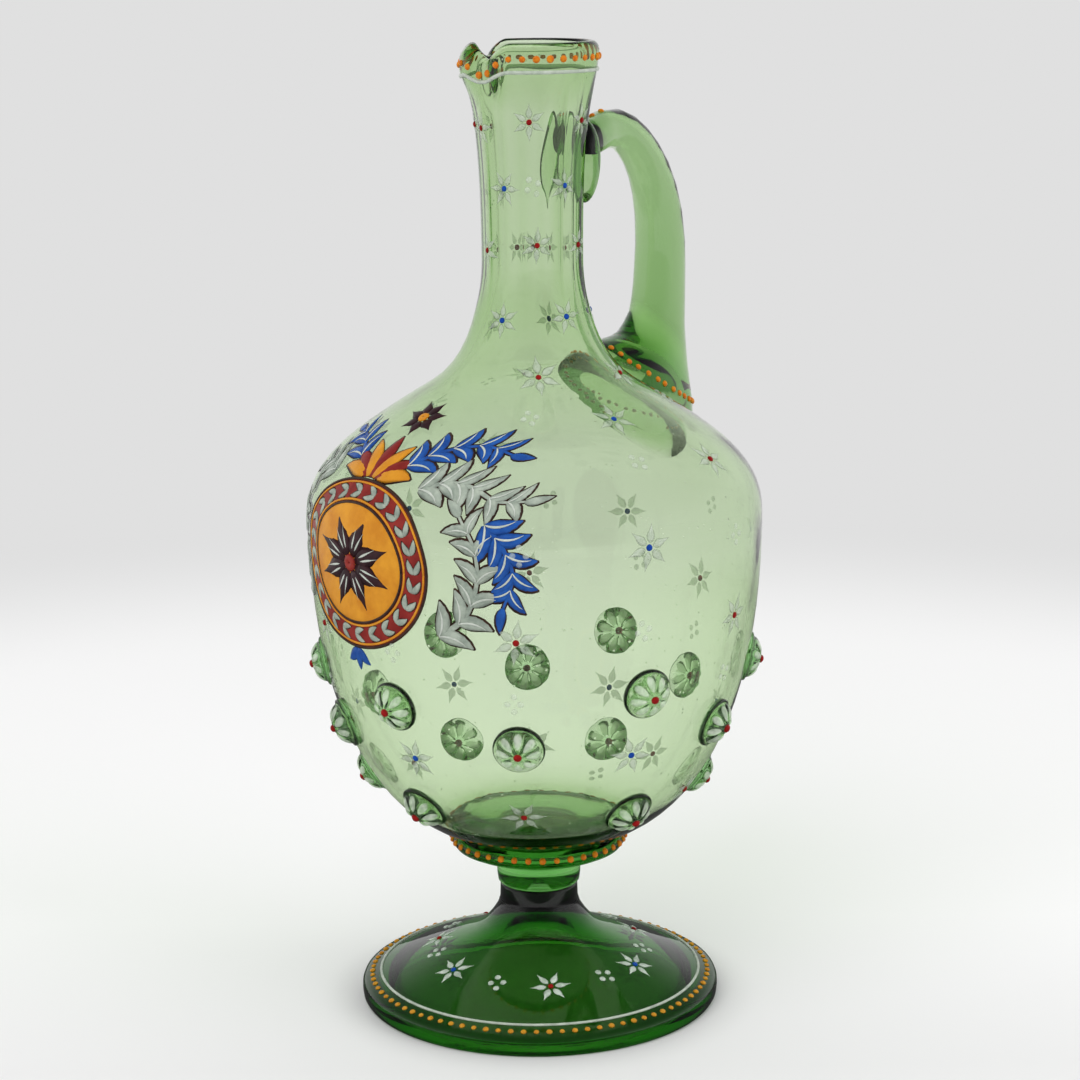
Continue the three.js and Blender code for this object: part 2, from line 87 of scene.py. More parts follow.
# The rounded edge of the mouth, from outside to inside
LIP_EDGE = (
    (19.7, 282.6), (19.3, 283.9), (18.5, 284.75), (17.6, 285.0),
    (16.8, 284.8), (16.1, 284.0), (15.8, 282.7),
)
COLLAR_PROFILE = (
    (0.0, 35.1), (6.0, 35.1), (11.5, 35.1), (12.2, 35.9), (12.5, 38.0), (12.6, 40.4),
    (12.8, 42.0), (13.6, 43.4), (16.0, 44.4), (19.6, 45.1), (22.6, 45.9), (24.9, 47.0),
    (25.9, 48.4), (26.2, 49.5), (25.8, 50.15), (24.8, 50.35), (20.6, 50.35),
    (19.6, 50.14), (0.0, 50.14),
)
COLLAR_RIM = COLLAR_PROFILE[9:16]
FOOT_PROFILE = (
    (0.0, 35.3), (11.2, 35.3), (11.6, 34.2), (11.7, 30.4), (12.5, 27.8), (14.2, 25.2),
    (16.6, 22.3), (19.2, 20.3), (22.4, 18.6), (27.0, 16.5), (34.0, 13.6), (42.0, 10.3),
    (48.0, 7.8), (50.6, 6.8), (52.2, 6.35), (53.3, 5.7), (53.75, 4.6), (53.8, 3.0),
    (53.6, 1.2), (53.0, 0.25), (52.2, 0.0), (47.4, 0.0), (46.4, 0.6), (44.6, 2.8),
    (41.0, 5.4), (34.0, 8.6), (27.0, 11.4), (21.0, 13.8), (16.0, 16.0), (12.0, 18.4),
    (9.0, 20.6), (6.6, 22.4), (4.0, 23.7), (1.8, 24.3), (0.0, 24.4),
)
FOOT_TOP = FOOT_PROFILE[15:3:-1]

# Handle, from the shoulder up and over to the neck: middle radius, middle height, half
# width in the handle's own plane, half width across it, and lean in degrees
HANDLE_STATIONS = (
    (40.5, 170.0, 30.5, 18.2, -43), (45.0, 174.9, 28.2, 17.5, -43),
    (49.0, 178.0, 25.4, 16.8, -42), (52.6, 181.6, 21.2, 15.2, -41),
    (55.2, 185.2, 17.2, 13.0, -38), (57.5, 189.3, 13.8, 10.8, -33),
    (59.0, 194.0, 11.7, 9.3, -27), (60.2, 198.9, 9.6, 8.4, -21),
    (61.0, 204.2, 8.9, 8.0, -15), (61.5, 209.7, 8.4, 7.8, -10),
    (61.8, 215.5, 8.1, 7.7, -5), (62.0, 222.0, 7.7, 7.6, 1),
    (61.1, 230.8, 7.2, 7.3, 11), (59.0, 238.4, 6.8, 6.9, 21),
    (55.9, 244.8, 6.4, 6.5, 31), (52.1, 249.9, 6.0, 6.2, 42),
    (47.9, 253.8, 5.8, 6.0, 53), (43.6, 256.5, 5.7, 5.9, 65),
    (39.3, 257.9, 5.7, 5.8, 80), (32.2, 257.7, 5.7, 5.8, 97),
    (22.0, 256.2, 5.3, 5.6, 103), (11.0, 255.6, 3.6, 4.4, 104),
)
# Blown hollow up inside the flared foot of the handle
HOLLOW_STATIONS = (
    (54.6, 183.6, 0.6, 0.5, -38), (54.3, 183.2, 3.0, 2.2, -38),
    (53.4, 182.3, 6.4, 4.6, -39), (51.6, 180.6, 11.0, 7.4, -41),
    (48.6, 177.8, 16.2, 9.8, -42), (44.8, 175.0, 20.0, 11.4, -43),
    (40.6, 170.2, 22.0, 12.0, -43),
)

# Lobes of the handle's pad: middle and half width round the neck, top and bottom, how far
# each leans over, and whether it ends in a point
PAD_LOBES = (
    (0.2, 6.2, 265.0, 239.4, 3.2, True), (-10.2, 7.2, 262.5, 238.6, -0.4, False),
)
# How far the handle reaches into the vessel's wall
BITE = 0.14

# Rosettes: bearing in degrees and height of the middle
ROSETTES = {
    "upper": ((14, 98.3), (68, 98.3), (129, 104.3), (179, 103.3), (248, 108.3), (309, 104.3)),
    "middle": ((42, 86.3), (102, 86.3), (147, 90.3), (214, 93.8), (278, 92.8), (344, 89.3)),
    "lower": ((10, 66.8), (71, 67.3), (129, 70.8), (176, 69.8), (252, 69.3), (309, 68.8)),
}

# Beads round each part, and the distance between those on the handle
RIM_BEADS, COLLAR_BEADS, FOOT_BEADS, HANDLE_BEAD_GAP = 31, 39, 86, 3.7
# Heights of the beads and the line at the rim, and of the collar's beads
RIM_BAND, RIM_LINE, COLLAR_BAND = 280.6, 277.0, 49.6
# Radius of the foot's beads and its line
FOOT_BAND, FOOT_LINE = 50.8, 48.1
# Stars above the first height are on the neck and smaller. Below the second length along
# the outline, on the belly, their centres are larger
NECK_STARS, BELLY_STARS = 200, 150

# Stars: centre colour, bearing and height. Clusters of dots: bearing and height
STARS = (
    ("red", 217.3, 263), ("red", 157.6, 261), ("red", 284.2, 262.8), ("red", 129, 261.5),
    ("blue", 186.5, 244.3), ("blue", 258.1, 245), ("blue", 92.2, 241.3), ("blue", 340.3, 243.7),
    ("red", 224.9, 228.4), ("red", 48.3, 225), ("red", 157.2, 226.4), ("red", 286.8, 227.6),
    ("red", 3.5, 225), ("blue", 188, 207.3), ("blue", 253.7, 208.1), ("blue", 20.9, 203.7),
    ("blue", 92.4, 203.4), ("blue", 318, 208), ("red", 222.3, 192.4), ("red", 293, 190.8),
    ("red", 44, 185.5), ("blue", 253.6, 181.7), ("red", 279.9, 169.1), ("blue", 84, 178),
    ("blue", 246.9, 150.6), ("blue", 12.5, 136.9), ("red", 345.3, 119.1), ("red", 278.3, 125.1),
    ("red", 40.9, 115.3), ("red", 214.1, 125.7), ("blue", 68, 82.9), ("blue", 13.5, 81.4),
    ("blue", 181.9, 87.4), ("blue", 246, 89.4), ("red", 343.9, 65.7), ("red", 214.2, 70.3),
    ("red", 150.2, 121.7), ("blue", 312, 142), ("blue", 112, 121), ("blue", 76, 140),
    ("red", 100, 158), ("red", 52, 158), ("blue", 318, 87), ("red", 80, 112),
    ("red", 282, 70), ("red", 40, 64), ("red", 102, 65), ("blue", 118, 88),
)
CLUSTERS = (
    (215.2, 150.3), (245.7, 127.1), (7.9, 120.8), (213.2, 107.6), (344.8, 103),
    (276.6, 108.4), (277, 149), (342.2, 143), (144.6, 101.9), (180.9, 119.9),
    (7.3, 57.6), (251.3, 171.8), (309.4, 182.7), (217.3, 183), (220.6, 245),
    (62, 183), (98, 183), (35, 140), (100, 140), (118, 105), (55, 122), (310, 120),
)
# The same on the foot, with a radius in place of the height
FOOT_STARS = (
    ("red", 224.3, 33.5), ("blue", 167.1, 32.6), ("blue", 278.2, 33.0), ("red", 120.0, 31.0),
    ("red", 330.0, 31.0), ("blue", 20.0, 33.0), ("red", 70.0, 32.5),
)
FOOT_CLUSTERS = (
    (196.6, 33.1), (255.1, 32.6), (141.2, 31.7), (300.0, 31.5), (357.0, 32.5), (46.0, 32.5),
    (96.0, 32.0),
)


def smooth(value, low, high):
    """An eased step from 0 to 1."""
    share = min(max((value - low) / (high - low), 0.0), 1.0)
    return share * share * (3 - 2 * share)


def bell(value, width):
    """A bump of height 1 about zero."""
    return math.exp(-((value / width) ** 2))


def mix(a, b, share):
    """A value part of the way from a to b."""
    return a + (b - a) * share


def polar(radius, bearing, height):
    """A point in metres, from millimetres and a bearing in radians."""
    return Vector((radius * math.cos(bearing), radius * math.sin(bearing), height)) * MM


def from_spout(bearing):
    """Degrees between a bearing and the pouring lip."""
    return abs(math.degrees(math.remainder(bearing - SPOUT, math.tau)))


def curve_points(corners, count):
    """Points along one smooth curve, its last point left out."""
    made = []
    for k in range(count):
        t = k / count
        s = 1 - t
        shares = (s * s * s, 3 * s * s * t, 3 * s * t * t, t * t * t)
        made.append(tuple(sum(w * p[i] for w, p in zip(shares, corners)) for i in (0, 1)))
    return made


def outer_outline():
    """Outside of the vessel from its base to the start of the rounded lip."""
    made = []
    for corners, count in zip(BODY_CURVES, BODY_STEPS):
        made += curve_points(corners, count)
    made.append(BODY_CURVES[-1][-1])
    return made


def wall_at(height):
    """Thickness of the blown wall at a height of the outside."""
    base = BODY_WALL + BASE_EXTRA * bell(height - BODY_BASE[-1][1], 5)
    neck = smooth(height, 172, 222)
    lip = smooth(height, 262, RIM)
    return base + NECK_EXTRA * neck - 0.2 * lip


def inner_outline(outline):
    """Inside of the vessel, from the lip down to the thick floor."""
    made = []
    for k in range(len(outline) - 1, 0, -1):
        (r, z), before = outline[k], outline[k - 1]
        after = outline[min(k + 1, len(outline) - 1)]
        along = Vector((after[0] - before[0], after[1] - before[1])).normalized()
        wall = wall_at(z)
        made.append((r - along.y * wall, z + along.x * wall))
    made = [p for p in made if p[1] > FLOOR + 0.2]
    last = made[-1]
    floor = [(last[0] * s, mix(FLOOR, last[1], s ** 3)) for s in (0.85, 0.65, 0.4, 0.2, 0)]
    return made + floor


def mouth_dip(bearing):
    """How far the rim sinks, and how far the wall is pinched in, at a bearing."""
    off = from_spout(bearing)
    start, low, turn, end = VALLEY
    valley = smooth(off, start, low) * (1 - smooth(off, turn, end))
    return VALLEY_DEPTH * valley + TIP_DROP * bell(off, 16), PINCH * bell(off - turn, 12)


def shape_glass(radius, bearing, height, outside=True):
    """The blown form: facets pressed into the neck, and the mouth drawn into a lip."""
    span = math.tau / FACETS
    turn = (bearing - FACET_CORNER) % span - span / 2
    flat = 0.995 * math.cos(span / 2) / math.cos(turn) - 0.02 * bell(span / 2 - abs(turn), 0.1)
    pressed = smooth(height, *FACETS_IN) * (1 - smooth(height, *FACETS_OUT))
    dip, pinch = mouth_dip(bearing)
    lip = smooth(height, 265, RIM)
    drawn = bell(height - 277, 5) - 1.2 * smooth(height, 281, 285)
    around = radius * (mix(1, flat, pressed) if outside else 1) - lip * pinch
    around += drawn * bell(from_spout(bearing), 26)
    if not outside:
        around -= 0.14 * lip * dip
    return around, bearing, height - lip * lip * dip


# ---------------------------------------------------------------------------
# Modelling helpers
# ---------------------------------------------------------------------------


def clear_selection():
    """Object mode, with nothing selected."""
    if bpy.context.object and bpy.context.object.mode != "OBJECT":
        bpy.ops.object.mode_set(mode="OBJECT")
    bpy.ops.object.select_all(action="DESELECT")


def pick(piece):
    """Select one piece and make it the active one."""
    clear_selection()
    piece.select_set(True)
    bpy.context.view_layer.objects.active = piece


def name_new(name):
    """Name the piece that was just added."""
    piece = bpy.context.object
    piece.name = piece.data.name = name
    return piece


def combine(piece, other, operation):
    """Add another solid to a piece or cut it away, and remove that other solid."""
    pick(piece)
    modifier = piece.modifiers.new("Boolean", "BOOLEAN")
    modifier.operation, modifier.object, modifier.solver = operation, other, "EXACT"
    bpy.ops.object.modifier_apply(modifier=modifier.name)
    remove(other)


def edit_mesh(piece, *steps):
    """Run operators, each with its settings, on the whole mesh of a piece."""
    pick(piece)
    bpy.ops.object.mode_set(mode="EDIT")
    bpy.ops.mesh.select_all(action="SELECT")
    for operator, settings in steps:
        operator(**settings)
    bpy.ops.object.mode_set(mode="OBJECT")


def stretch(piece, *factors):
    """Resize the mesh of a piece about the origin."""
    edit_mesh(piece, (bpy.ops.transform.resize,
                      {"value": factors, "center_override": (0, 0, 0)}))


def tidy_normals(piece):
    """Merge doubles and turn every face outwards."""
    edit_mesh(piece, (bpy.ops.mesh.remove_doubles, {"threshold": 5e-6}),
              (bpy.ops.mesh.normals_make_consistent, {"inside": False}))


def spin_profile(name, profile, steps=AROUND, start=0.0):
    """Turn a profile of radius and height, in millimetres, about the upright axis."""
    clear_selection()
    r, z = profile[0]
    bpy.ops.mesh.primitive_plane_add(size=MM, location=polar(r, start, z))
    piece = name_new(name)
    bpy.ops.object.transform_apply(location=True)
    bpy.ops.object.mode_set(mode="EDIT")
    bpy.ops.mesh.merge(type="CENTER")
    for (r0, z0), (r1, z1) in zip(profile, profile[1:]):
        step = polar(r1 - r0, start, z1 - z0)
        bpy.ops.mesh.extrude_vertices_move(TRANSFORM_OT_translate={"value": step})
    bpy.ops.mesh.select_all(action="SELECT")
    bpy.ops.mesh.spin(steps=steps, angle=math.tau, center=(0, 0, 0), axis=(0, 0, 1))
    bpy.ops.object.mode_set(mode="OBJECT")
    tidy_normals(piece)
    bpy.ops.object.shade_smooth()
    return piece


def shape_oval(middle, size, lean_before, lean):
    """Turn the selected oval level, resize it, and lean it again."""
    centre = {"center_override": Vector((middle[0], 0, middle[1])) * MM}
    bpy.ops.transform.rotate(value=math.radians(-lean_before), orient_axis="Y", **centre)
    bpy.ops.transform.resize(value=(*size, 1), **centre)
    bpy.ops.transform.rotate(value=math.radians(lean), orient_axis="Y", **centre)


def loft_handle(name, stations):
    """Extrude an oval along the handle's stations, each with its own size and lean."""
    clear_selection()
    r, z, wide, across, lean = stations[0]
    bpy.ops.mesh.primitive_circle_add(
        vertices=40, radius=MM, fill_type="NGON", location=(r * MM, 0, z * MM))
    piece = name_new(name)
    bpy.ops.object.transform_apply(location=True)
    bpy.ops.object.mode_set(mode="EDIT")
    shape_oval((r, z), (wide, across), 0, lean)
    for r1, z1, wide1, across1, lean1 in stations[1:]:
        move = Vector((r1 - r, 0, z1 - z)) * MM
        bpy.ops.mesh.extrude_region_move(TRANSFORM_OT_translate={"value": move})
        shape_oval((r1, z1), (wide1 / wide, across1 / across), lean, lean1)
        r, z, wide, across, lean = r1, z1, wide1, across1, lean1
    bpy.ops.object.mode_set(mode="OBJECT")
    tidy_normals(piece)
    return piece


def copy_of(piece, name="copy", size=1.0):
    """A copy with its own mesh, at its own size about the origin."""
    made = piece.copy()
    made.data = piece.data.copy()
    made.name = made.data.name = name
    bpy.context.collection.objects.link(made)
    for vertex in made.data.vertices:
        vertex.co *= size
    return made


def lift(piece, rise):
    """Raise the mesh of a piece by some millimetres."""
    for vertex in piece.data.vertices:
        vertex.co.z += rise * MM
    return piece


def stand(piece, place, turn, size):
    """A copy of a piece, at its own size, turned and moved to a place on the glass."""
    made = copy_of(piece, size=size)
    for vertex in made.data.vertices:
        vertex.co = place + turn @ vertex.co
    made.data.update()
    return made


def join(pieces, name):
    """Join pieces into one."""
    pick(pieces[0])
    for piece in pieces:
        piece.select_set(True)
    bpy.ops.object.join()
    return name_new(name)


def reshape(piece, change):
    """Move every point of a piece, as its radius, bearing and height."""
    for vertex in piece.data.vertices:
        x, y, z = vertex.co / MM
        vertex.co = polar(*change(math.hypot(x, y), math.atan2(y, x), z))
    piece.data.update()


def surface_tree(piece):
    """The faces of a piece, to cast rays at."""
    return BVHTree.FromPolygons([v.co.copy() for v in piece.data.vertices],
                                [tuple(p.vertices) for p in piece.data.polygons])


def remove(piece):
    """Take away a piece that only helped to shape others."""
    mesh = piece.data
    bpy.data.objects.remove(piece)
    bpy.data.meshes.remove(mesh)


class Skin:
    """A turned surface that flat patterns are laid on, found by casting rays at the mesh."""

    def __init__(self, piece, outline):
        self.tree = surface_tree(piece)
        self.outline = [Vector(p) for p in outline]
        self.lengths = [0.0]
        for a, b in zip(self.outline, self.outline[1:]):
            self.lengths.append(self.lengths[-1] + (b - a).length)

    def at_length(self, length):
        """Radius and height, and the outward normal, at a length along the outline."""
        k = 0
        while k < len(self.lengths) - 2 and self.lengths[k + 1] < length:
            k += 1
        a, b = self.outline[k], self.outline[k + 1]
        share = (length - self.lengths[k]) / (self.lengths[k + 1] - self.lengths[k])
        along = (b - a).normalized()
        return a + (b - a) * share, Vector((along.y, -along.x))

    def length_where(self, axis, value):
        """Length along the outline where its radius, axis 0, or height, axis 1, has a value."""
        for k, (a, b) in enumerate(zip(self.outline, self.outline[1:])):
            if min(a[axis], b[axis]) <= value <= max(a[axis], b[axis]):
                share = (value - a[axis]) / (b[axis] - a[axis])
                return self.lengths[k] + share * (self.lengths[k + 1] - self.lengths[k])
        raise ValueError("the outline never comes to %s" % value)

    def length_at_height(self, height):
        """Length along the outline at a height."""
        return self.length_where(1, height)

    def length_at_radius(self, radius):
        """Length along the outline at a radius."""
        return self.length_where(0, radius)

    def seat(self, bearing, length, rise):
        """A point over the glass: bearing in radians, the rest in millimetres."""
        (r, z), normal = self.at_length(length)
        out = Vector((math.cos(bearing), math.sin(bearing), 0))
        facing = out * normal.x + Vector((0, 0, normal.y))
        point = (out * r + Vector((0, 0, z))) * MM
        hit, _, _, _ = self.tree.ray_cast(point + facing * 0.006, -facing, 0.014)
        return (point if hit is None else hit) + facing * (rise * MM)

    def lay(self, piece, bearing, length, turn=0.0):
        """Wrap a flat pattern, drawn in metres about the origin, onto the surface."""
        spin = Matrix.Rotation(turn, 3, "Z")
        bearing = math.radians(bearing)
        for vertex in piece.data.vertices:
            flat = spin @ vertex.co / MM
            (r, _), _ = self.at_length(length + flat.y)
            vertex.co = self.seat(bearing + flat.x / max(r, 5), length + flat.y, flat.z)
        piece.data.update()
        return piece


# ---------------------------------------------------------------------------
# Materials
# ---------------------------------------------------------------------------


def add_node(tree, kind, at, inputs=None, **settings):
    """One node, with its settings. Each input is a value, or the output that feeds it."""
    node = tree.nodes.new("ShaderNode" + kind)
    node.location = at
    for key, value in settings.items():
        setattr(node, key, value)
    for key, value in (inputs or {}).items():
        if isinstance(value, bpy.types.NodeSocket):
            tree.links.new(value, node.inputs[key])
        else:
            node.inputs[key].default_value = value
    return node


def feed(tree, kind, at, inputs=None, output=0, **settings):
    """The output of a new node."""
    return add_node(tree, kind, at, inputs, **settings).outputs[output]


def calculate(tree, at, operation, *values, clamp=False):
    """The result of one sum on numbers or outputs."""
    return feed(tree, "Math", at, dict(enumerate(values)), operation=operation,
                use_clamp=clamp)


def map_range(tree, at, value, low, high, start=0.0, end=1.0, step="LINEAR"):
    """A value carried from low and high over to start and end, and held there."""
    return feed(tree, "MapRange", at, {
        "Value": value, "From Min": low, "From Max": high, "To Min": start, "To Max": end},
        interpolation_type=step)


def reach_along(tree, at, vector, direction):
    """How far a vector reaches in a direction."""
    return feed(tree, "VectorMath", at, {0: vector, 1: direction}, "Value",
                operation="DOT_PRODUCT")


def reflected_only(tree, at, path):
    """1 for rays that a surface reflects, 0 for those that glass has let through."""
    return calculate(tree, at, "SUBTRACT", path.outputs["Is Glossy Ray"],
                     path.outputs["Is Transmission Ray"], clamp=True)


def new_group(name, inputs, outputs):
    """An empty shader node group with named sockets."""
    group = bpy.data.node_groups.new(name, "ShaderNodeTree")
    for label, kind, value in inputs:
        socket = group.interface.new_socket(
            name=label, in_out="INPUT", socket_type="NodeSocket" + kind)
        socket.default_value = value
    for label, kind in outputs:
        group.interface.new_socket(
            name=label, in_out="OUTPUT", socket_type="NodeSocket" + kind)
    entry, leave = group.nodes.new("NodeGroupInput"), group.nodes.new("NodeGroupOutput")
    entry.location, leave.location = (-900, 0), (500, 0)
    return group, entry.outputs, leave.inputs


def new_material(name):
    """An empty material, its node tree and the sockets of its output node."""
    material = bpy.data.materials.new(name)
    material.use_nodes = True
    tree = material.node_tree
    tree.nodes.clear()
    return material, tree, add_node(tree, "OutputMaterial", (450, 0)).inputs


def blown_glass_group():
    """Surface of hand-blown glass: broad soft waves, finer ripples and tiny seeds."""
    name = "Blown glass surface"
    if name in bpy.data.node_groups:
        return bpy.data.node_groups[name]
    group, entry, leave = new_group(
        name,
        (("Wave Scale", "Float", 30.0), ("Wave Depth", "Float", 0.0004),
         ("Ripple Scale", "Float", 120.0), ("Seed Depth", "Float", 0.0)),
        (("Normal", "Vector"), ("Roughness", "Float")))
    place = feed(group, "TexCoord", (-900, -200), output="Object")
    waves = feed(group, "TexNoise", (-650, 200), {
        "Vector": place, "Scale": entry["Wave Scale"], "Detail": 1.0})
    ripples = feed(group, "TexNoise", (-650, -50), {
        "Vector": place, "Scale": entry["Ripple Scale"], "Detail": 2.0})
    seeds = feed(group, "TexVoronoi", (-650, -300), {"Vector": place, "Scale": 260.0})
    pits = map_range(group, (-420, -300), seeds, 0.0, 0.09, 1.0, 0.0)
    shallow = calculate(group, (-420, -50), "MULTIPLY", ripples, 0.03)
    sunk = calculate(group, (-220, -300), "MULTIPLY", pits, entry["Seed Depth"])
    waved = calculate(group, (-220, 100), "ADD", waves, shallow)
    relief = calculate(group, (-40, 0), "ADD", waved, sunk)
    bump = feed(group, "Bump", (160, 0), {
        "Strength": 1.0, "Distance": entry["Wave Depth"], "Height": relief})
    rough = map_range(group, (160, -250), ripples, 0.35, 0.8, 0.0, 0.035)
    group.links.new(bump, leave["Normal"])
    group.links.new(rough, leave["Roughness"])
    return group


def enamel_group():
    """Fired enamel: uneven tone, small pits, and glossier raised places."""
    name = "Fired enamel"
    if name in bpy.data.node_groups:
        return bpy.data.node_groups[name]
    group, entry, leave = new_group(
        name,
        (("Color", "Color", (0.8, 0.8, 0.8, 1)), ("Shade", "Color", (0.5, 0.5, 0.5, 1)),
         ("Scale", "Float", 400.0), ("Body", "Float", 1.0), ("Gloss", "Float", 0.3)),
        (("Color", "Color"), ("Roughness", "Float"), ("Alpha", "Float"),
         ("Normal", "Vector")))
    place = feed(group, "TexCoord", (-900, -250), output="Object")
    cloud = feed(group, "TexNoise", (-650, 150), {
        "Vector": place, "Scale": entry["Scale"], "Detail": 4.0, "Roughness": 0.6})
    grain = feed(group, "TexNoise", (-650, -150), {
        "Vector": place, "Scale": 2600.0, "Detail": 2.0})
    share = map_range(group, (-420, 150), cloud, 0.35, 0.65)
    tone = feed(group, "Mix", (-200, 150), {
        "Factor": share, "A": entry["Shade"], "B": entry["Color"]}, "Result",
        data_type="RGBA")
    rough = calculate(group, (-200, -150), "MULTIPLY_ADD", grain, 0.25, entry["Gloss"])
    thick = calculate(group, (-420, -450), "MULTIPLY", entry["Body"], 1.5, clamp=True)
    alpha = map_range(group, (-200, -350), cloud, 0.3, 0.6, entry["Body"], thick)
    bump = feed(group, "Bump", (100, -200), {
        "Strength": 0.35, "Distance": 0.00008, "Height": grain})
    for label, source in (("Color", tone), ("Roughness", rough), ("Alpha", alpha),
                          ("Normal", bump)):
        group.links.new(source, leave[label])
    return group


def glass_material(name, part, shade, wave_depth, seeds=0.0):
    """Clear tinted glass of one part: its colour comes from the depth that light crosses.

    The shade is what a shadow ray keeps, so that light reaches what lies behind the glass.
    """
    if name in bpy.data.materials:
        return bpy.data.materials[name]
    look = bpy.context.scene.carafe_glass
    material, tree, out = new_material(name)
    surface = add_node(tree, "Group", (-500, 0), {
        "Wave Depth": wave_depth, "Seed Depth": seeds}, node_tree=blown_glass_group())
    glass = feed(tree, "BsdfPrincipled", (-200, 0), {
        "Base Color": (1, 1, 1, 1), "Metallic": 0.0, "IOR": 1.5, "Transmission Weight": 1.0,
        "Roughness": surface.outputs["Roughness"], "Normal": surface.outputs["Normal"]})
    let_through = feed(tree, "BsdfTransparent", (-200, -350), {"Color": (*shade, 1)})
    in_shadow = feed(tree, "LightPath", (-200, 350), output="Is Shadow Ray")
    choose = feed(tree, "MixShader", (150, 100), {0: in_shadow, 1: glass, 2: let_through})
    absorb = feed(tree, "VolumeAbsorption", (-200, -450), {
        "Color": (*getattr(look, part + "_tint"), 1),
        "Density": getattr(look, part + "_density")})
    tree.links.new(choose, out["Surface"])
    tree.links.new(absorb, out["Volume"])
    return material


def one_sided(tree, shader, clear):
    """A shader on the faces turned to the viewer, and a clear one on their backs."""
    turned = feed(tree, "NewGeometry", (-50, 350), output="Backfacing")
    return feed(tree, "MixShader", (250, 100), {0: turned, 1: shader, 2: clear})


def enamel_material(name, colour, shade, scale, body=1.0, gloss=0.2):
    """Enamel fused to the glass: opaque, or with a body under 1 a thin wash.

    A wash is seen once from either side: its far face lets everything through.
    """
    if name in bpy.data.materials:
        return bpy.data.materials[name]
    material, tree, out = new_material(name)
    fired = add_node(tree, "Group", (-450, 0), {
        "Color": (*colour, 1), "Shade": (*shade, 1), "Scale": scale, "Body": body,
        "Gloss": gloss}, node_tree=enamel_group())
    paint = add_node(tree, "BsdfPrincipled", (-150, 0), {
        "Base Color": fired.outputs["Color"], "Metallic": 0.0, "IOR": 1.5,
        "Roughness": fired.outputs["Roughness"], "Normal": fired.outputs["Normal"],
        "Specular IOR Level": 0.2})
    layer = paint.outputs["BSDF"]
    if body < 1:
        tree.links.new(fired.outputs["Alpha"], paint.inputs["Alpha"])
        layer = one_sided(tree, layer, feed(tree, "BsdfTransparent", (-50, -450)))
    tree.links.new(layer, out["Surface"])
    return material


def lit_through_material(name, colour, body):
    """Underside of thin enamel, seen through the glass with light coming from behind it."""
    material, tree, out = new_material(name)
    thin = feed(tree, "BsdfTranslucent", (-300, 0), {"Color": (*colour, 1)})
    clear = feed(tree, "BsdfTransparent", (-300, -150))
    wash = feed(tree, "MixShader", (-50, 0), {0: body, 1: clear, 2: thin})
    tree.links.new(one_sided(tree, wash, clear), out["Surface"])
    return material


def finish_underside(piece, skin, material):
    """Give the faces that lie towards the glass their own material."""
    piece.data.materials.append(material)
    for face in piece.data.polygons:
        _, normal, _, _ = skin.tree.find_nearest(face.center)
        if face.normal.dot(normal) < 0:
            face.material_index = 1


def finish_piece(piece, material, node=None):
    """Give a piece its material, ride it on the root, and hide the model's part that it stands
    for.
    """
    piece.data.materials.clear()
    piece.data.materials.append(material)
    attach(piece, "root")
    if node:
        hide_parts(node)
    return piece


# ---------------------------------------------------------------------------
# Settings
# ---------------------------------------------------------------------------


def colour_setting(name, description, default):
    """A colour to choose in the panel."""
    return bpy.props.FloatVectorProperty(
        name=name, description=description, default=default, subtype="COLOR", size=3,
        min=0.0, max=1.0)


def length_setting(name, description, default):
    """A length, whose usual value is given here in millimetres."""
    return bpy.props.FloatProperty(
        name=name, description=description, default=default * MM, unit="LENGTH", min=0.0)


def number_setting(name, description, default, low=0.0):
    """A number with a lowest value."""
    return bpy.props.FloatProperty(
        name=name, description=description, default=default, min=low)


def tint_setting(part, default):
    """Colour that the glass of one part lets through."""
    return colour_setting(part + " tint", "Colour that this glass lets through", default)


def density_setting(part, default):
    """How strongly the glass of one part is tinted."""
    return number_setting(part + " density", "Strength of the tint per metre", default)


class CarafeGlass(bpy.types.PropertyGroup):
    """Tints of the glass: colour left and density of tint per metre of glass."""
    body_tint: tint_setting("Body", (0.44, 0.72, 0.17))
    body_density: density_setting("Body", 158.0)
    handle_tint: tint_setting("Handle", (0.34, 0.655, 0.10))
    handle_density: density_setting("Handle", 110.0)
    collar_tint: tint_setting("Collar", (0.22, 0.68, 0.08))
    collar_density: density_setting("Collar", 100.0)
    foot_tint: tint_setting("Foot", (0.21, 0.665, 0.012))
    foot_density: density_setting("Foot", 350.0)
    rosette_tint: tint_setting("Rosette", (0.20, 0.66, 0.06))
    rosette_density: density_setting("Rosette", 120.0)


class CarafeEnamel(bpy.types.PropertyGroup):
    """Colours and sizes of the fired enamel."""
    orange: colour_setting("Orange", "Raised beads at the rim, collar and handle",
                           (0.76, 0.275, 0.012))
    ochre: colour_setting("Ochre", "Raised beads round the foot", (0.66, 0.33, 0.025))
    red: colour_setting("Red", "Centres of red stars and rosettes", (0.33, 0.006, 0.006))
    blue: colour_setting("Blue", "Centres of blue stars", (0.006, 0.075, 0.42))
    white: colour_setting("White", "Petals of the stars", (0.68, 0.75, 0.66))
    bead: length_setting("Bead width", "Width of a raised enamel bead", 2.1)
    star: length_setting("Star width", "Width of a star across its points", 13.4)


class CarafeStage(bpy.types.PropertyGroup):
    """Floor, backdrop and camera."""
    floor: colour_setting("Floor", "Colour of the pale floor", (0.98, 0.98, 0.98))
    backdrop: number_setting("Backdrop", "Brightness of the backdrop", 0.745)
    lens: number_setting("Lens", "Focal length of the camera in millimetres", 94.09, 1.0)


# ---------------------------------------------------------------------------
# Enamel motifs, drawn flat about the origin and laid on the glass afterwards
# ---------------------------------------------------------------------------


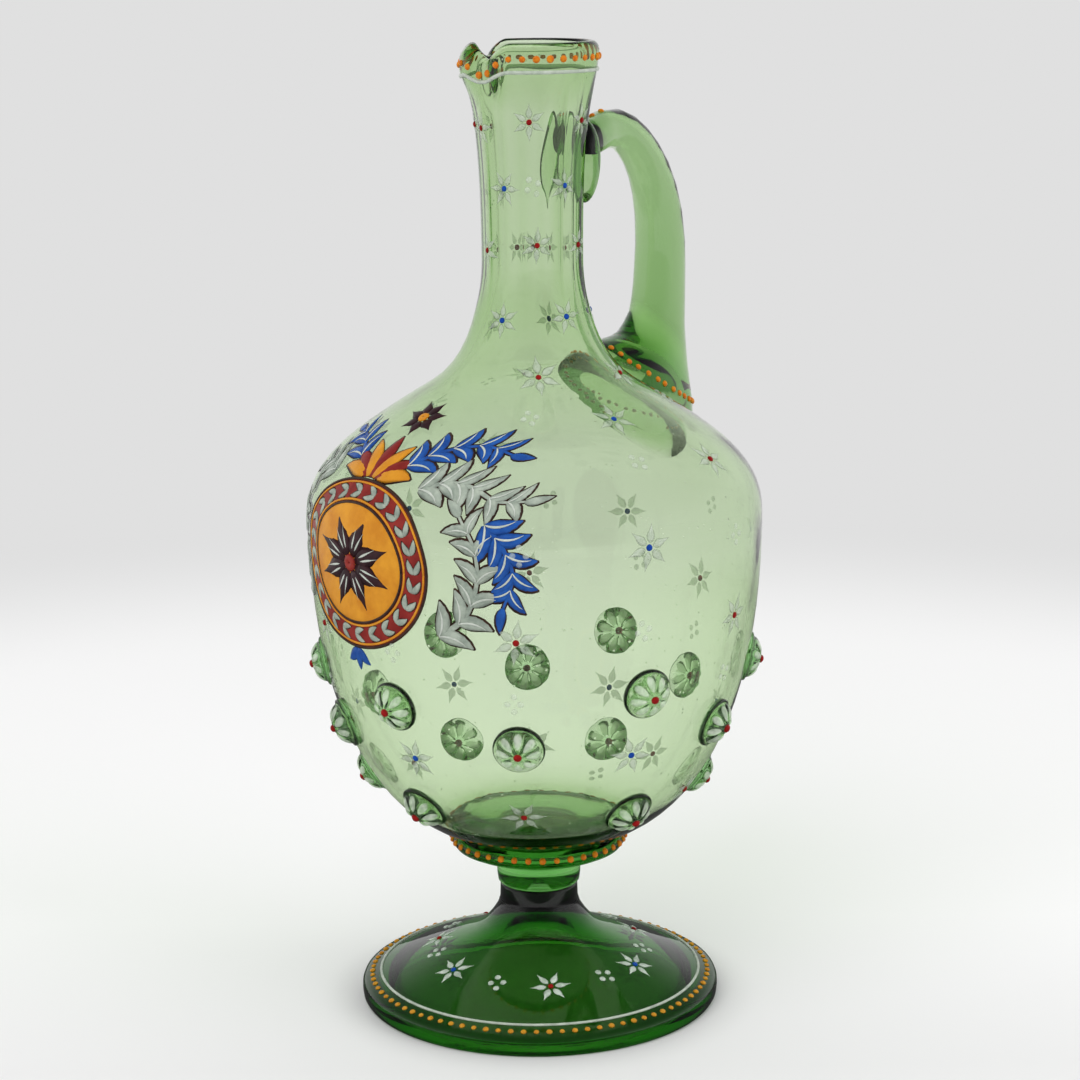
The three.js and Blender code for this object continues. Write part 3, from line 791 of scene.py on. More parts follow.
def tubes(name, paths, closed=False):
    """Round tubes along paths, made one mesh.

    Each point of a path is its place in metres and half the width there in millimetres.
    """
    clear_selection()
    curve = bpy.data.curves.new(name, "CURVE")
    curve.dimensions = "3D"
    curve.bevel_depth = MM
    curve.bevel_resolution = 1
    curve.use_fill_caps = True
    for path in paths:
        spline = curve.splines.new("POLY")
        spline.points.add(len(path) - 1)
        spline.use_cyclic_u = closed
        for point, (place, half) in zip(spline.points, path):
            point.co = (*place, 1)
            point.radius = half
    piece = bpy.data.objects.new(name, curve)
    bpy.context.collection.objects.link(piece)
    pick(piece)
    bpy.ops.object.convert(target="MESH")
    piece = name_new(name)
    edit_mesh(piece, (bpy.ops.mesh.remove_doubles, {"threshold": 1e-6}))
    bpy.ops.object.shade_smooth()
    return piece


def brush_strokes(name, strokes, rise):
    """Paint strokes that swell and taper, with a round section pressed nearly flat.

    Each stroke is a list of (x, y, half width) in millimetres.
    """
    piece = tubes(name, [[((x * MM, y * MM, 0), max(half, 0.02)) for x, y, half in points]
                         for points in strokes])
    for vertex in piece.data.vertices:
        vertex.co.z *= rise
    piece.data.update()
    return piece


def petal_stroke(angle, near, far, half):
    """A teardrop petal from near the centre to a fine point."""
    made = []
    for k, width in enumerate((0.25, 0.85, 1.0, 0.82, 0.45, 0.2, 0.05)):
        r = mix(near, far, k / 6)
        made.append((r * math.cos(angle), r * math.sin(angle), half * width))
    return made


def ball(name, radius, segments, rings):
    """A round ball about the origin."""
    clear_selection()
    bpy.ops.mesh.primitive_uv_sphere_add(segments=segments, ring_count=rings, radius=radius)
    return name_new(name)


def enamel_bead(name, width, height):
    """A raised round bead of enamel."""
    piece = ball(name, width / 2, 10, 6)
    stretch(piece, 1, 1, 2 * height / width)
    bpy.ops.object.shade_smooth()
    return piece


def star_petals(name, width, grow=0.0, rise=0.22):
    """Six pointed petals round an open centre."""
    half = width / MM / 2
    strokes = [petal_stroke(math.radians(90 + 60 * k), 0.22 * half - grow, half + grow,
                            0.175 * half + grow) for k in range(6)]
    return brush_strokes(name, strokes, rise)


def red_enamel():
    """Red of the centres of stars and rosettes."""
    return enamel_material("Red enamel", bpy.context.scene.carafe_enamel.red,
                           (0.22, 0.004, 0.004), 600)


SKINS = {}


def skin_of(name):
    """The surface that decoration is laid on."""
    if name not in SKINS:
        raise RuntimeError("the %s is made before its decoration" % name)
    return SKINS[name]


# ---------------------------------------------------------------------------
# Operators
# ---------------------------------------------------------------------------


class CARAFE_OT_vessel(bpy.types.Operator):
    """Blow the body, neck and pouring lip as one shell of glass"""
    bl_idname = "carafe.vessel"
    bl_label = "Vessel"

    def execute(self, context):
        outline = outer_outline()
        profile = [*BODY_BASE, *outline, *LIP_EDGE, *inner_outline(outline)]
        piece = spin_profile("vessel_glass", profile, start=FACET_CORNER)
        turning = len(BODY_BASE) + len(outline) + 3
        outer = {(round(r, 2), round(z, 2)): k < turning for k, (r, z) in enumerate(profile)}
        reshape(piece, lambda radius, bearing, height: shape_glass(
            radius, bearing, height, outer.get((round(radius, 2), round(height, 2)), False)))
        SKINS["vessel"] = Skin(piece, outline)
        material = glass_material("Pale green glass", "body", (0.9, 0.95, 0.88), 0.0006, 0.1)
        finish_piece(piece, material, "vessel")
        return {"FINISHED"}


class CARAFE_OT_collar(bpy.types.Operator):
    """Turn the flared collar between the body and the foot"""
    bl_idname = "carafe.collar"
    bl_label = "Collar"

    def execute(self, context):
        piece = spin_profile("collar_glass", COLLAR_PROFILE)
        SKINS["collar"] = Skin(piece, COLLAR_RIM)
        material = glass_material("Collar green glass", "collar", (0.35, 0.64, 0.3), 0.0003)
        finish_piece(piece, material, "collar")
        return {"FINISHED"}


class CARAFE_OT_foot(bpy.types.Operator):
    """Turn the spreading foot, hollow underneath, with its short stem"""
    bl_idname = "carafe.foot"
    bl_label = "Foot"

    def execute(self, context):
        piece = spin_profile("foot_glass", FOOT_PROFILE)
        SKINS["foot"] = Skin(piece, FOOT_TOP)
        material = glass_material("Deep green glass", "foot", (0.17, 0.35, 0.13), 0.0003)
        finish_piece(piece, material, "foot")
        return {"FINISHED"}


class CARAFE_OT_handle(bpy.types.Operator):
    """Draw the hollow-footed handle over to its leaf-shaped pad on the neck"""
    bl_idname = "carafe.handle"
    bl_label = "Handle"

    def execute(self, context):
        piece = loft_handle("handle_glass", HOLLOW_STATIONS + HANDLE_STATIONS)
        for vertex in piece.data.vertices:
            if vertex.co.z > 240 * MM:
                vertex.co.y -= 6.5 * MM * smooth(34.0 - vertex.co.x / MM, 0, 20)
        for lobe in PAD_LOBES:
            combine(piece, self.lobe(*lobe), "UNION")
        combine(piece, self.envelope(), "DIFFERENCE")
        tidy_normals(piece)
        bpy.ops.object.shade_smooth_by_angle(angle=math.radians(50))
        SKINS["handle"] = surface_tree(piece)
        material = glass_material("Handle green glass", "handle", (0.72, 0.85, 0.64), 0.0005)
        finish_piece(piece, material, "handle")
        return {"FINISHED"}

    def lobe(self, middle, half, top, bottom, lean, pointed):
        """One lobe of the pad pressed onto the neck, bent round it."""
        lobe = ball("lobe", MM, 32, 24)
        for vertex in lobe.data.vertices:
            x, y, z = vertex.co / MM
            share = (1 - z) / 2
            width, drop = half, 0.0
            if pointed:
                width *= mix(0.6, 1.12, smooth(share, 0, 0.7))
                width *= 1 - 0.6 * smooth(share, 0.9, 0.97)
                drop = 3.4 * max(0.0, (share - 0.9) / 0.1) ** 2
            across = middle + y * width + lean * smooth(share, 0.1, 0.9)
            around = 15.6 + x * mix(5.2, 4.2, share)
            vertex.co = polar(around, across / 16.4, mix(top, bottom, share) - drop)
        lobe.data.update()
        return lobe

    def envelope(self):
        """Solid form of the vessel's outside, a hair smaller, that trims what it carries."""
        profile = [BODY_BASE[0], BODY_BASE[-1], *outer_outline(), (0, RIM)]
        solid = spin_profile("envelope", profile, start=FACET_CORNER)

        def shrink(radius, bearing, height):
            radius, bearing, height = shape_glass(radius, bearing, height)
            return max(radius - BITE, 0), bearing, height

        reshape(solid, shrink)
        return solid


class CARAFE_OT_rosettes(bpy.types.Operator):
    """Press eighteen round petalled rosettes onto the body"""
    bl_idname = "carafe.rosettes"
    bl_label = "Rosettes"

    def execute(self, context):
        skin = skin_of("vessel")
        master = self.pad()
        wash = self.wash(master)
        dot = lift(enamel_bead("rosette_dot", 2.3 * MM, 0.9 * MM), 4.55)
        glass = glass_material("Rosette green glass", "rosette", (0.85, 0.93, 0.8), 0.0002)
        paint = enamel_material("Petal wash", (0.8, 0.88, 0.74), (0.58, 0.7, 0.53), 500,
                                0.42, 0.25)
        washes, dots = [], []
        for row, places in ROSETTES.items():
            for k, (bearing, height) in enumerate(places, 1):
                spot = bearing, skin.length_at_height(height), math.radians(11 * k)
                pad = skin.lay(copy_of(master, "rosette_%s_%d" % (row, k)), *spot)
                finish_piece(pad, glass, "prunt_%s_%d" % (row, k))
                washes.append(skin.lay(copy_of(wash), *spot))
                dots.append(skin.lay(copy_of(dot), *spot))
        petals = finish_piece(join(washes, "rosette_petal_washes"), paint)
        finish_underside(petals, skin, lit_through_material(
            "Petal wash from behind", (0.86, 0.92, 0.8), 0.62))
        finish_piece(join(dots, "rosette_red_centres"), red_enamel())
        for helper in (master, wash, dot):
            remove(helper)
        return {"FINISHED"}

    def pad(self):
        """One rosette: a round pad carrying a low flower of eight lobes and a button."""
        profile = [(0, 4.7), (0.6, 4.66), (1.2, 4.5), (1.8, 4.3)]
        for k in range(1, 13):
            share = k / 12
            profile.append((1.8 + 4.5 * share, 1.35 + 2.85 * (1 - share ** 2.2) ** 0.75))
        profile += [(6.5, 1.15), (6.9, 1.1), (7.2, 0.95), (7.35, 0.6), (7.35, -0.12),
                    (5, -0.12), (2.5, -0.12), (0, -0.12)]
        piece = spin_profile("rosette", profile, steps=64)

        def flower(radius, bearing, height):
            if height > 1.2:
                valley = 1 - abs(math.cos(4 * bearing)) ** 0.7
                height -= (0.95 * valley * smooth(radius, 1.3, 2.6)
                           * smooth(height, 1.2, 2.6))
                radius *= 1 - 0.09 * valley * smooth(radius, 4, 6.3)
            return radius, bearing, height

        reshape(piece, flower)
        return piece

    def wash(self, pad):
        """Egg-shaped washes of thin enamel on the eight lobes."""
        tree = surface_tree(pad)
        petals = []
        for k in range(8):
            petal = ball("petal", MM, 12, 6)
            turn = Matrix.Rotation(k * math.tau / 8, 3, "Z")
            for vertex in petal.data.vertices:
                x, y, z = vertex.co / MM
                place = turn @ Vector((4.15 + 2.05 * x, (1.12 + 0.42 * x) * y, 9.0)) * MM
                hit, _, _, _ = tree.ray_cast(place, Vector((0, 0, -1)))
                vertex.co = (hit or place) + Vector((0, 0, (0.16 * z + 0.04) * MM))
            petals.append(petal)
        piece = join(petals, "wash")
        bpy.ops.object.shade_smooth()
        return piece


class CARAFE_OT_beads(bpy.types.Operator):
    """Set the rings of orange and ochre beads and the white lines"""
    bl_idname = "carafe.beads"
    bl_label = "Beads and lines"

    def execute(self, context):
        enamel = context.scene.carafe_enamel
        orange = enamel_material("Orange enamel", enamel.orange, (0.62, 0.13, 0.008), 700)
        ochre = enamel_material("Ochre enamel", enamel.ochre, (0.5, 0.2, 0.015), 700)
        white = enamel_material("White line enamel", (0.56, 0.62, 0.54), (0.44, 0.5, 0.43),
                                350, 0.85)
        bead = enamel_bead("bead", enamel.bead, 0.75 * MM)
        vessel, collar, foot = skin_of("vessel"), skin_of("collar"), skin_of("foot")
        rim = [self.rim_bead(vessel, bead, k * math.tau / RIM_BEADS + 0.06,
                             0.98 + 0.12 * math.sin(5.1 * k)) for k in range(RIM_BEADS)]
        finish_piece(join(rim, "rim_beads"), orange)
        for name, paint, skin, at, count, share in (
                ("collar_beads", orange, collar, collar.length_at_height(COLLAR_BAND),
                 COLLAR_BEADS, 0.95),
                ("foot_beads", ochre, foot, foot.length_at_radius(FOOT_BAND),
                 FOOT_BEADS, 0.84)):
            row = [skin.lay(copy_of(bead, size=share * (1.0 + 0.08 * math.sin(3.7 * k))),
                            360 / count * k, at) for k in range(count)]
            finish_piece(join(row, name), paint)
        row = [stand(bead, point, normal.to_track_quat("Z", "Y").to_matrix(), 0.92)
               for point, normal in self.handle_places(skin_of("handle"))]
        finish_piece(join(row, "handle_beads"), orange)
        remove(bead)
        turns = [math.radians(2 * k) for k in range(180)]
        at = foot.length_at_radius(FOOT_LINE)
        ring = [(foot.seat(turn, at, 0.05), 0.45) for turn in turns]
        finish_piece(tubes("foot_line", [ring], True), white)
        ring = [(self.rim_point(vessel, turn, RIM_LINE - self.band_drop(turn, 0.62), 0.05),
                 0.6) for turn in turns]
        finish_piece(tubes("rim_line", [ring], True), white)
        return {"FINISHED"}

    def band_drop(self, bearing, share):
        """How far the band of enamel under the rim sinks with it."""
        return share * mouth_dip(bearing)[0] + 1.3 * bell(from_spout(bearing), 22)

    def rim_point(self, skin, bearing, height, rise=0.0):
        """A point on the outside of the neck at a height, or a little over it."""
        out = Vector((math.cos(bearing), math.sin(bearing), 0))
        start = out * 0.03 + Vector((0, 0, height * MM))
        hit, normal, _, _ = skin.tree.ray_cast(start, -out, 0.03)
        if hit is None:
            raise RuntimeError("no glass under the rim at %.2f" % bearing)
        return hit + normal * rise * MM

    def rim_bead(self, skin, bead, bearing, size):
        """One bead on the rim's band."""
        height = RIM_BAND - self.band_drop(bearing, 1.0)
        point = self.rim_point(skin, bearing, height)
        across = (self.rim_point(skin, bearing + 0.03, height) - point).normalized()
        up = (self.rim_point(skin, bearing, height + 0.8) - point).normalized()
        facing = across.cross(up).normalized()
        turn = Matrix((across, facing.cross(across), facing)).transposed()
        return stand(bead, point, turn, size)

    def handle_places(self, tree):
        """Points and normals round the flared foot of the handle, on a sagging slant."""
        slant = math.radians(-35.3)
        path = []
        for k in range(0, 360, 2):
            turn, x = math.radians(k), 45.0
            out = Vector((24.5 * math.cos(turn) * math.cos(slant), 18.5 * math.sin(turn),
                          24.5 * math.cos(turn) * math.sin(slant)))
            for _ in range(6):
                sag = 3.1 - 0.0091 * (x - 36.6) ** 2
                if x < 36:
                    sag = max(0.0, sag - 0.5 * max(0.0, 31.4 - x) ** 2)
                start = (Vector((48.0, 0, 181.3 - sag)) + out * 1.9) * MM
                hit, normal, _, _ = tree.ray_cast(start, -out.normalized(), 0.04)
                if hit is None:
                    raise RuntimeError("no handle under the row of beads at %d" % k)
                x = hit.x / MM
            path.append((hit, normal))
        gone = [0.0]
        for (before, _), (after, _) in zip(path, path[1:] + path[:1]):
            gone.append(gone[-1] + (after - before).length)
        count = round(gone[-1] / (HANDLE_BEAD_GAP * MM))
        places = [path[next(i for i, g in enumerate(gone) if g >= gone[-1] * k / count)]
                  for k in range(count)]
        # two more on top of the arch, close to the neck
        for x, y in ((26.6, -1.4), (32.0, -0.6)):
            places.append(tree.ray_cast(Vector((x, y, 275)) * MM, Vector((0, 0, -1)), 0.03)[:2])
        return places


class CARAFE_OT_stars(bpy.types.Operator):
    """Scatter the six-petalled stars and the clusters of four dots"""
    bl_idname = "carafe.stars"
    bl_label = "Stars and dots"

    def execute(self, context):
        enamel = context.scene.carafe_enamel
        white = enamel_material("Star enamel", enamel.white, (0.5, 0.58, 0.47), 450, 0.32, 0.25)
        bright = enamel_material("Foot star enamel", (0.62, 0.7, 0.62), (0.42, 0.5, 0.42), 450,
                                 0.8, 0.25)
        # painted shade: a darker rim under each petal stands in for the shade at the petals'
        # raised edges
        shadow = enamel_material("Star edge enamel", (0.24, 0.3, 0.2), (0.14, 0.2, 0.12), 450,
                                 0.26, 0.3)
        blue = enamel_material("Blue enamel", enamel.blue, (0.004, 0.045, 0.3), 600)
        star = star_petals("star", enamel.star)
        # slightly larger petals that carry the painted shade round each star
        edge = star_petals("edge", enamel.star, 0.2, 0.1)
        dot = enamel_bead("dot", 2.1 * MM, 0.7 * MM)
        cluster = self.cluster()
        vessel, foot = skin_of("vessel"), skin_of("foot")
        petals, edges, low, centres = [], [], [], {"red": [], "blue": []}
        places = [(vessel, c, b, vessel.length_at_height(h), 0.78 if h > NECK_STARS else 1.0)
                  for c, b, h in STARS]
        places += [(foot, c, b, foot.length_at_radius(r), 0.92) for c, b, r in FOOT_STARS]
        for k, (skin, colour, bearing, at, size) in enumerate(places):
            spot = bearing, at, math.radians((37 * k) % 60)
            (low if skin is foot else petals).append(skin.lay(copy_of(star, size=size), *spot))
            if skin is vessel:
                edges.append(skin.lay(copy_of(edge, size=size), *spot))
            on_belly = skin is vessel and at < BELLY_STARS
            centres[colour].append(
                skin.lay(copy_of(dot, size=0.95 if on_belly else 0.85), bearing, at))
        spots = [(vessel, b, vessel.length_at_height(h)) for b, h in CLUSTERS]
        spots += [(foot, b, foot.length_at_radius(r)) for b, r in FOOT_CLUSTERS]
        for k, (skin, bearing, at) in enumerate(spots):
            laid = skin.lay(copy_of(cluster), bearing, at, math.radians(15 * (k % 3)))
            (low if skin is foot else petals).append(laid)
        stars = finish_piece(join(petals, "star_petals"), white)
        finish_underside(stars, vessel, lit_through_material(
            "Star enamel from behind", (0.8, 0.86, 0.78), 0.6))
        # the painted shade round the stars, and its look from behind
        outlines = finish_piece(join(edges, "star_edges"), shadow)
        finish_underside(outlines, vessel, lit_through_material(
            "Star edge from behind", (0.6, 0.7, 0.54), 0.15))
        finish_piece(join(low, "foot_star_petals"), bright)
        finish_piece(join(centres["red"], "star_red_centres"), red_enamel())
        finish_piece(join(centres["blue"], "star_blue_centres"), blue)
        for helper in (star, edge, dot, cluster):
            remove(helper)
        return {"FINISHED"}

    def cluster(self):
        """Four small dots in a diamond."""
        dots = []
        for k in range(4):
            dot = enamel_bead("c", 1.9 * MM, 0.45 * MM)
            away = polar(2.3 * (1.0 if k % 2 else 0.8), k * math.pi / 2, 0)
            for vertex in dot.data.vertices:
                vertex.co += away
            dots.append(dot)
        return join(dots, "cluster")


def through_points(points, steps):
    """A smooth path through points."""
    made = []
    ends = [points[0], *points, points[-1]]
    for a, b, c, d in zip(ends, ends[1:], ends[2:], ends[3:]):
        for k in range(steps):
            t = k / steps
            made.append(tuple(0.5 * (2 * q + (r - p) * t + (2 * p - 5 * q + 4 * r - w) * t * t
                                     + (3 * q - p - 3 * r + w) * t ** 3)
                              for p, q, r, w in zip(a, b, c, d)))
    return made + [points[-1]]


def leaf_stroke(x, y, angle, length, half, curl):
    """A leaf that starts at a point, swells, and curls to a fine tip."""
    made = []
    for width in (0.35, 0.82, 1.0, 0.96, 0.8, 0.52, 0.12):
        made.append((x, y, half * width))
        x += length / 6 * math.cos(angle)
        y += length / 6 * math.sin(angle)
        angle += curl / 6
    return made


def spray(points, leaves, length, half, grow=0.0, thin=1.0):
    """Overlapping leaves on both sides of a curling stem, one more at its end."""
    path = through_points(points, 8)
    last = len(path) - 1
    strokes = []
    for k in range(leaves):
        at = min(int((k + 0.15) / leaves * last), last - 1)
        (x0, y0), (x1, y1) = path[at], path[at + 1]
        along = math.atan2(y1 - y0, x1 - x0)
        size = mix(1.0, 0.68, k / leaves)
        for side in (1, -1):
            strokes.append(leaf_stroke(x0, y0, along + side * 0.5, length * size + 2 * grow,
                                       (half * size + grow) * thin, side * 0.95))
    (x0, y0), (x1, y1) = path[-2:]
    strokes.append(leaf_stroke(x1, y1, math.atan2(y1 - y0, x1 - x0), length * 0.7 + 2 * grow,
                               (half * 0.62 + grow) * thin, 0.4))
    strokes.append([(x, y, (mix(1.0, 0.4, k / last) + grow) * thin)
                    for k, (x, y) in enumerate(path)])
    return strokes


def oval_plate(wide, high, top):
    """A thin oval field of enamel with a softened edge."""
    profile = [(wide * k / 14, top) for k in range(14)]
    profile += [(wide - 0.25, top), (wide, top * 0.4), (wide, -0.05), (wide * 0.5, -0.05),
                (0, -0.05)]
    piece = spin_profile("field", profile, steps=72)
    stretch(piece, 1, high / wide, 1)
    return piece


def oval_line(wide, high, half, middle=(0, 0)):
    """A closed oval stroke."""
    return [(middle[0] + wide * math.cos(k * math.tau / 72),
             middle[1] + high * math.sin(k * math.tau / 72), half) for k in range(73)]


class CARAFE_OT_medallion(bpy.types.Operator):
    """Paint the oval medallion with its flower, its palmette and the leaf sprays"""
    bl_idname = "carafe.medallion"
    bl_label = "Painted medallion"

    # Where the middle of the medallion is laid
    BEARING, HEIGHT = 168.0, 143.5
    # Name, colour, shade and scale of each paint
    PAINTS = {
        "red": ("Panel red", (0.30, 0.03, 0.022), (0.2, 0.014, 0.012), 160),
        "gold": ("Panel gold", (0.76, 0.33, 0.022), (0.62, 0.23, 0.012), 140),
        "brown": ("Panel brown", (0.045, 0.016, 0.02), (0.022, 0.008, 0.011), 240),
        "blue": ("Panel blue", (0.02, 0.11, 0.42), (0.01, 0.06, 0.28), 220),
        "grey": ("Panel grey-white", (0.44, 0.5, 0.42), (0.26, 0.31, 0.26), 260),
        "light": ("Panel highlights", (0.66, 0.7, 0.64), (0.5, 0.55, 0.48), 300),
        "dark": ("Panel outline", (0.06, 0.03, 0.02), (0.03, 0.015, 0.012), 300),
    }
    # Paths that the leaves grow along
    GREY_SPRAYS = (
        ((20, 24), (27, 27), (35, 26), (44, 22), (52, 22)),
        ((31, -17), (39, -11), (43, -1), (42, 9), (36, 17)),
        ((-20, 24), (-27, 26), (-35, 23)),
        ((-31, -15), (-38, -8), (-39, 3), (-34, 14)),
    )
    BLUE_SPRAYS = (
        ((11, 31), (18, 38), (28, 41), (38, 38)),
        ((44, 15), (50, 9), (53, 1), (50, -8)),
        ((-11, 31), (-18, 37), (-27, 38)),
    )

    def execute(self, context):
        skin = skin_of("vessel")
        paints = {key: enamel_material(*paint) for key, paint in self.PAINTS.items()}
        self.place(skin, oval_plate(28.5, 24.5, 0.16), "panel_red_field", paints["red"])
        self.place(skin, oval_plate(20.0, 17.0, 0.26), "panel_gold_field", paints["gold"])
        for name, strokes, rise, height, paint in self.layers():
            piece = lift(brush_strokes(name, strokes, rise), height)
            self.place(skin, piece, name, paints[paint])
        return {"FINISHED"}

    def place(self, skin, piece, name, material):
        """Lay a painted piece on the belly and finish it."""
        skin.lay(piece, self.BEARING, skin.length_at_height(self.HEIGHT))
        piece.name = piece.data.name = name
        finish_piece(piece, material)

    def layers(self):
        """Each layer: its name and strokes, how flat it is pressed, its lift and its paint."""
        greys, blues, edges, lights = [], [], [], []
        for sprays, leaves in ((self.GREY_SPRAYS, greys), (self.BLUE_SPRAYS, blues)):
            for path in sprays:
                count = max(3, int(len(path) * 1.25))
                leaves += spray(path, count, 10.5, 2.3)
                edges += spray(path, count, 10.5, 2.3, 0.32)
                lights += spray(path, count, 8.6, 2.0, thin=0.17)[:-2]
        petals, glints = [], []
        for k in range(8):
            a = k * math.tau / 8 + math.tau / 16
            for strokes, *shape in ((petals, a, 2.2, 15.0, 3.4),
                                    (glints, a - 0.13, 4.6, 11.2, 0.34),
                                    (glints, a + 0.13, 4.6, 11.2, 0.34)):
                strokes.append([(x * 1.12, y * 0.94, w) for x, y, w in petal_stroke(*shape)])
        garland, garland_edge = [], []
        for k in range(24):
            a = k * math.tau / 24
            x, y = 24.2 * math.cos(a), 20.6 * math.sin(a)
            for side in (0.75, -0.75):
                turn = a + math.pi / 2 + side
                garland.append(leaf_stroke(x, y, turn, 4.4, 1.0, -side))
                garland_edge.append(leaf_stroke(x, y, turn, 4.9, 1.3, -side))
        fan_red, fan_gold, crest, crest_height = [], [], [], 49.5
        for k in range(-3, 4):
            a, size = math.pi / 2 - 0.36 * k, 15.5 - 1.2 * abs(k)
            fan, curl = (fan_red, fan_gold)[k % 2], -0.3 * k
            fan.append(leaf_stroke(1.1 * k, 25.5, a, size, 2.7, curl))
            edges.append(leaf_stroke(1.1 * k, 25.2, a, size + 0.8, 3.05, curl))
        for k in range(7):
            petal = petal_stroke(k * math.tau / 7 + 0.3, 1.6, 7.6, 1.9)
            crest.append([(x, y + crest_height, w) for x, y, w in petal])
        pendant = [leaf_stroke(0, -25.0, -math.pi / 2 + 0.65 * k, 6.6, 1.7, 0.5 * k)
                   for k in (-1, 0, 1)]
        borders = [oval_line(28.4, 24.4, 0.45), oval_line(20.1, 17.1, 0.45)]
        gilt = [oval_line(27.4, 23.4, 0.35), oval_line(21.1, 18.0, 0.35),
                oval_line(0.9, 0.9, 0.9, (0, crest_height))]
        heart = [oval_line(1.3, 1.2, 1.3)]
        return (
            ("panel_outlines", edges, 0.05, 0.02, "dark"),
            ("panel_grey_leaves", greys, 0.14, 0.03, "grey"),
            ("panel_blue_leaves", blues, 0.13, 0.03, "blue"),
            ("panel_leaf_lights", lights, 0.4, 0.33, "light"),
            ("panel_borders", borders, 0.5, 0.2, "dark"),
            ("panel_gilt_lines", gilt, 0.5, 0.22, "gold"),
            ("panel_garland_shade", garland_edge, 0.08, 0.14, "dark"),
            ("panel_garland", garland, 0.3, 0.16, "grey"),
            ("panel_flower", petals, 0.1, 0.24, "brown"),
            ("panel_flower_lights", glints, 0.4, 0.52, "light"),
            ("panel_flower_heart", heart, 0.35, 0.3, "red"),
            ("panel_palmette_red", fan_red, 0.12, 0.05, "red"),
            ("panel_palmette_gold", fan_gold, 0.14, 0.06, "gold"),
            ("panel_top_flower", crest, 0.12, 0.04, "brown"),
            ("panel_pendant", pendant, 0.16, 0.04, "blue"),
        )


